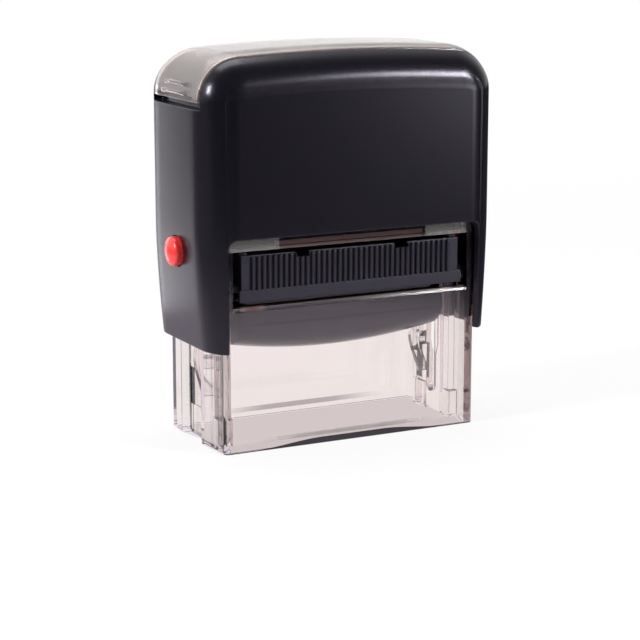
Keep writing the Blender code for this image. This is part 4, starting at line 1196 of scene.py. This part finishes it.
def make_floor(colours):
    """A paper floor that is white in view, and in gloss and glass out to where the sheet ends in front and at
    the sides and a dim table shows. Gloss shows it a little mauve, and inside the base a shadow is painted on
    it."""
    shape = bmesh.new()
    bmesh.ops.create_grid(shape, x_segments=1, y_segments=1, size=FLOOR_HALF)
    floor = piece_from("floor", shape)
    material, tree = new_material("Paper floor")
    x, y = add_node(tree, "SeparateXYZ", {0: add_node(tree, "NewGeometry")}).outputs[:2]
    path = add_node(tree, "LightPath").outputs
    camera, glossy, through = [path[f"Is {kind} Ray"] for kind in ("Camera", "Glossy", "Transmission")]

    # How much of the paper is left at the front, the right and the left, and how white it is near the stamp
    fades = ((y, -0.19, -0.05, 0.0, 1.0), (x, 0.03, 0.12, 1.0, 0.0), (x, -0.17, -0.06, 0.1, 1.0),
             (y, 0.05, 0.3, 0.85, 1.0))
    front, right, left, far = [add_node(tree, "MapRange", {
        "Value": axis, "From Min": start, "From Max": end, "To Min": low, "To Max": high},
        interpolation_type="SMOOTHSTEP") for axis, start, end, low, high in fades]
    beside = add_node(tree, "Math", {0: left, 1: right}, operation="MULTIPLY")
    near = add_node(tree, "Math", {0: front, 1: beside}, operation="MULTIPLY")

    # Lit paper or table, and the share of it that shows as even white
    plain = add_node(tree, "Math", {0: camera, 1: near}, operation="MAXIMUM")
    paper = add_node(tree, "Mix", {0: plain, 6: colours.table, 7: colours.floor}, data_type="RGBA")
    matt = add_node(tree, "BsdfDiffuse", {"Color": paper})
    mirrored_in = add_node(tree, "Math", {0: glossy, 1: through}, operation="ADD")
    dimmed = add_node(tree, "Math", {0: mirrored_in, 1: near}, operation="MULTIPLY")
    viewed = add_node(tree, "Math", {0: camera, 1: far}, operation="MULTIPLY")
    share = add_node(tree, "Math", {0: dimmed, 1: 0.85, 2: viewed}, operation="MULTIPLY_ADD")

    # Mauve in gloss, and through clear plastic where the paper lies ahead of the stamp
    gloss = add_node(tree, "Math", {0: glossy, 1: through}, operation="SUBTRACT", use_clamp=True)
    ahead = region(tree, (y, -FLOOR_HALF, BASE_LOW.y - VEIL_GAP))
    veil = add_node(tree, "Math", {0: ahead, 1: through}, operation="MULTIPLY")
    tint = add_node(tree, "Math", {0: gloss, 1: veil}, operation="MAXIMUM")
    # Painted shadow: the paper inside the clear base's footprint is darker
    under = region(tree, (x, -END_IN, END_IN), (y, -HOLLOW_HALF, HOLLOW_HALF))
    shade = (1, 1, 1, 1)
    for mask, tone in ((tint, colours.glow), (under, colours.shade)):
        shade = add_node(tree, "Mix", {0: mask, 6: shade, 7: tone}, data_type="RGBA")
    white = add_node(tree, "Emission", {"Color": shade, "Strength": 1.0})
    mix = add_node(tree, "MixShader", {0: share, 1: matt, 2: white})
    add_node(tree, "OutputMaterial", {"Surface": mix})
    floor.data.materials.append(material)


def make_world():
    """A white backdrop behind the stamp, also in gloss and glass, and a dim room in front of it."""
    world = bpy.data.worlds.new("Studio")
    bpy.context.scene.world = world
    world.use_nodes = True
    tree = world.node_tree
    tree.nodes.clear()
    axes = add_node(tree, "SeparateXYZ", {0: add_node(tree, "TexCoord").outputs["Generated"]})
    behind = add_node(tree, "MapRange", {"Value": axes.outputs["Y"], "From Min": -0.35, "From Max": 0.5,
                                         "To Min": 0.1, "To Max": 1.0}, interpolation_type="SMOOTHSTEP")
    path = add_node(tree, "LightPath").outputs
    mirrored_in = add_node(tree, "Math", {0: path["Is Glossy Ray"], 1: path["Is Transmission Ray"]},
                           operation="ADD")
    dimmed = add_node(tree, "Math", {0: mirrored_in, 1: behind}, operation="MULTIPLY")
    seen = add_node(tree, "Math", {0: dimmed, 1: path["Is Camera Ray"]}, operation="ADD", use_clamp=True)
    room = add_node(tree, "Math", {0: behind, 1: 0.6}, operation="MULTIPLY")
    strength = add_node(tree, "Math", {0: room, 1: seen}, operation="MAXIMUM")
    sky = add_node(tree, "Background", {"Color": (1, 1, 1, 1), "Strength": strength})
    add_node(tree, "OutputWorld", {"Surface": sky})


def aim(thing, target):
    thing.rotation_euler = (target - thing.location).to_track_quat("-Z", "Y").to_euler()


def make_lamp(name, azimuth, elevation, distance, size, power):
    """A soft lamp aimed at the stamp from an azimuth, counted from the front to the right, in degrees.
    Neither the camera nor the clear plastic shows the lamp itself."""
    light = bpy.data.lights.new(name, "AREA")
    light.shape = "RECTANGLE"
    light.size, light.size_y = size
    light.energy = power
    lamp = bpy.data.objects.new(name, light)
    bpy.context.scene.collection.objects.link(lamp)
    lamp.visible_camera = False
    lamp.visible_transmission = False
    side, up = math.radians(azimuth), math.radians(elevation)
    towards = Vector((math.sin(side) * math.cos(up), -math.cos(side) * math.cos(up), math.sin(up)))
    lamp.location = LAMP_AIM + towards * distance
    aim(lamp, LAMP_AIM)


def make_camera():
    lens = bpy.data.cameras.new("Photo view")
    lens.lens = LENS
    lens.sensor_width = SENSOR
    camera = bpy.data.objects.new("Photo view", lens)
    bpy.context.scene.collection.objects.link(camera)
    camera.location = CAMERA_AT
    aim(camera, CAMERA_AIM)
    bpy.context.scene.camera = camera


def make_stage(colours):
    bpy.context.scene.view_settings.view_transform = "Standard"
    make_world()
    make_floor(colours)
    make_lamp("Key lamp", 41, 27, LAMP_FAR, (0.10, 0.15), 2.1)
    make_lamp("Left lamp", -84, 28, LAMP_FAR, (0.08, 0.17), 2.8)
    make_lamp("Low lamp", 40, 3, LAMP_FAR, (0.16, 0.16), 0.5)
    make_lamp("Rim lamp", -145, -3, RIM_LAMP_FAR, (0.008, 0.06), 0.005)
    make_lamp("Top lamp", 180, 75, LAMP_FAR, (0.40, 0.30), 1.5)
    make_camera()


# Operators and panel

class STAMP_OT_stage(bpy.types.Operator):
    """Make the floor, lamps, world and camera"""
    bl_idname = "stamp.stage"
    bl_label = "Stage"

    def execute(self, context):
        make_stage(context.scene.stamp_colours)
        return {"FINISHED"}


class STAMP_OT_cap(bpy.types.Operator):
    """Make the black cap"""
    bl_idname = "stamp.cap"
    bl_label = "Cap"

    def execute(self, context):
        make_cap(context.scene.stamp_sizes, context.scene.stamp_colours)
        return {"FINISHED"}


class STAMP_OT_index(bpy.types.Operator):
    """Make the clear index cover and the card under it"""
    bl_idname = "stamp.index"
    bl_label = "Index cover and card"

    def execute(self, context):
        make_index(context.scene.stamp_sizes, context.scene.stamp_colours)
        return {"FINISHED"}


class STAMP_OT_base(bpy.types.Operator):
    """Make the clear base"""
    bl_idname = "stamp.base"
    bl_label = "Clear base"

    def execute(self, context):
        make_base(context.scene.stamp_colours)
        return {"FINISHED"}


class STAMP_OT_cassette(bpy.types.Operator):
    """Make the ink cassette and its felt"""
    bl_idname = "stamp.cassette"
    bl_label = "Ink cassette"

    def execute(self, context):
        make_cassette(context.scene.stamp_sizes, context.scene.stamp_colours)
        return {"FINISHED"}


class STAMP_OT_die(bpy.types.Operator):
    """Make the die block with its foam and rubber"""
    bl_idname = "stamp.die"
    bl_label = "Die"

    def execute(self, context):
        make_die(context.scene.stamp_colours)
        return {"FINISHED"}


class STAMP_OT_buttons(bpy.types.Operator):
    """Make the lock buttons and their leaf springs"""
    bl_idname = "stamp.buttons"
    bl_label = "Lock buttons"

    def execute(self, context):
        make_buttons(context.scene.stamp_sizes, context.scene.stamp_colours)
        return {"FINISHED"}


class STAMP_OT_springs(bpy.types.Operator):
    """Make the return springs"""
    bl_idname = "stamp.springs"
    bl_label = "Return springs"

    def execute(self, context):
        make_springs(context.scene.stamp_sizes, context.scene.stamp_colours)
        return {"FINISHED"}


class STAMP_OT_linkage(bpy.types.Operator):
    """Finish the bridge, axle pins and cam pegs"""
    bl_idname = "stamp.linkage"
    bl_label = "Linkage"

    def execute(self, context):
        dress_linkage(context.scene.stamp_colours)
        return {"FINISHED"}


class STAMP_PT_sidebar(bpy.types.Panel):
    """Buttons that make the stamp, with its sizes and colours"""
    bl_label = "Self-inking stamp"
    bl_space_type = "VIEW_3D"
    bl_region_type = "UI"
    bl_category = "Stamp"

    def draw(self, context):
        for operator in OPERATORS:
            self.layout.operator(operator.bl_idname)
        for group in (context.scene.stamp_sizes, context.scene.stamp_colours):
            for name in group.__annotations__:
                self.layout.prop(group, name)


OPERATORS = (STAMP_OT_stage, STAMP_OT_cap, STAMP_OT_index, STAMP_OT_base, STAMP_OT_cassette, STAMP_OT_die,
             STAMP_OT_buttons, STAMP_OT_springs, STAMP_OT_linkage)
CLASSES = (StampSizes, StampColours, *OPERATORS, STAMP_PT_sidebar)


def register():
    for cls in CLASSES:
        bpy.utils.register_class(cls)
    bpy.types.Scene.stamp_sizes = PointerProperty(type=StampSizes)
    bpy.types.Scene.stamp_colours = PointerProperty(type=StampColours)


def unregister():
    del bpy.types.Scene.stamp_colours
    del bpy.types.Scene.stamp_sizes
    for cls in reversed(CLASSES):
        bpy.utils.unregister_class(cls)


def main():
    register()
    bpy.ops.stamp.stage()
    bpy.ops.stamp.cap()
    bpy.ops.stamp.index()
    bpy.ops.stamp.base()
    bpy.ops.stamp.cassette()
    bpy.ops.stamp.die()
    bpy.ops.stamp.buttons()
    bpy.ops.stamp.springs()
    bpy.ops.stamp.linkage()


if __name__ == "__main__":
    main()
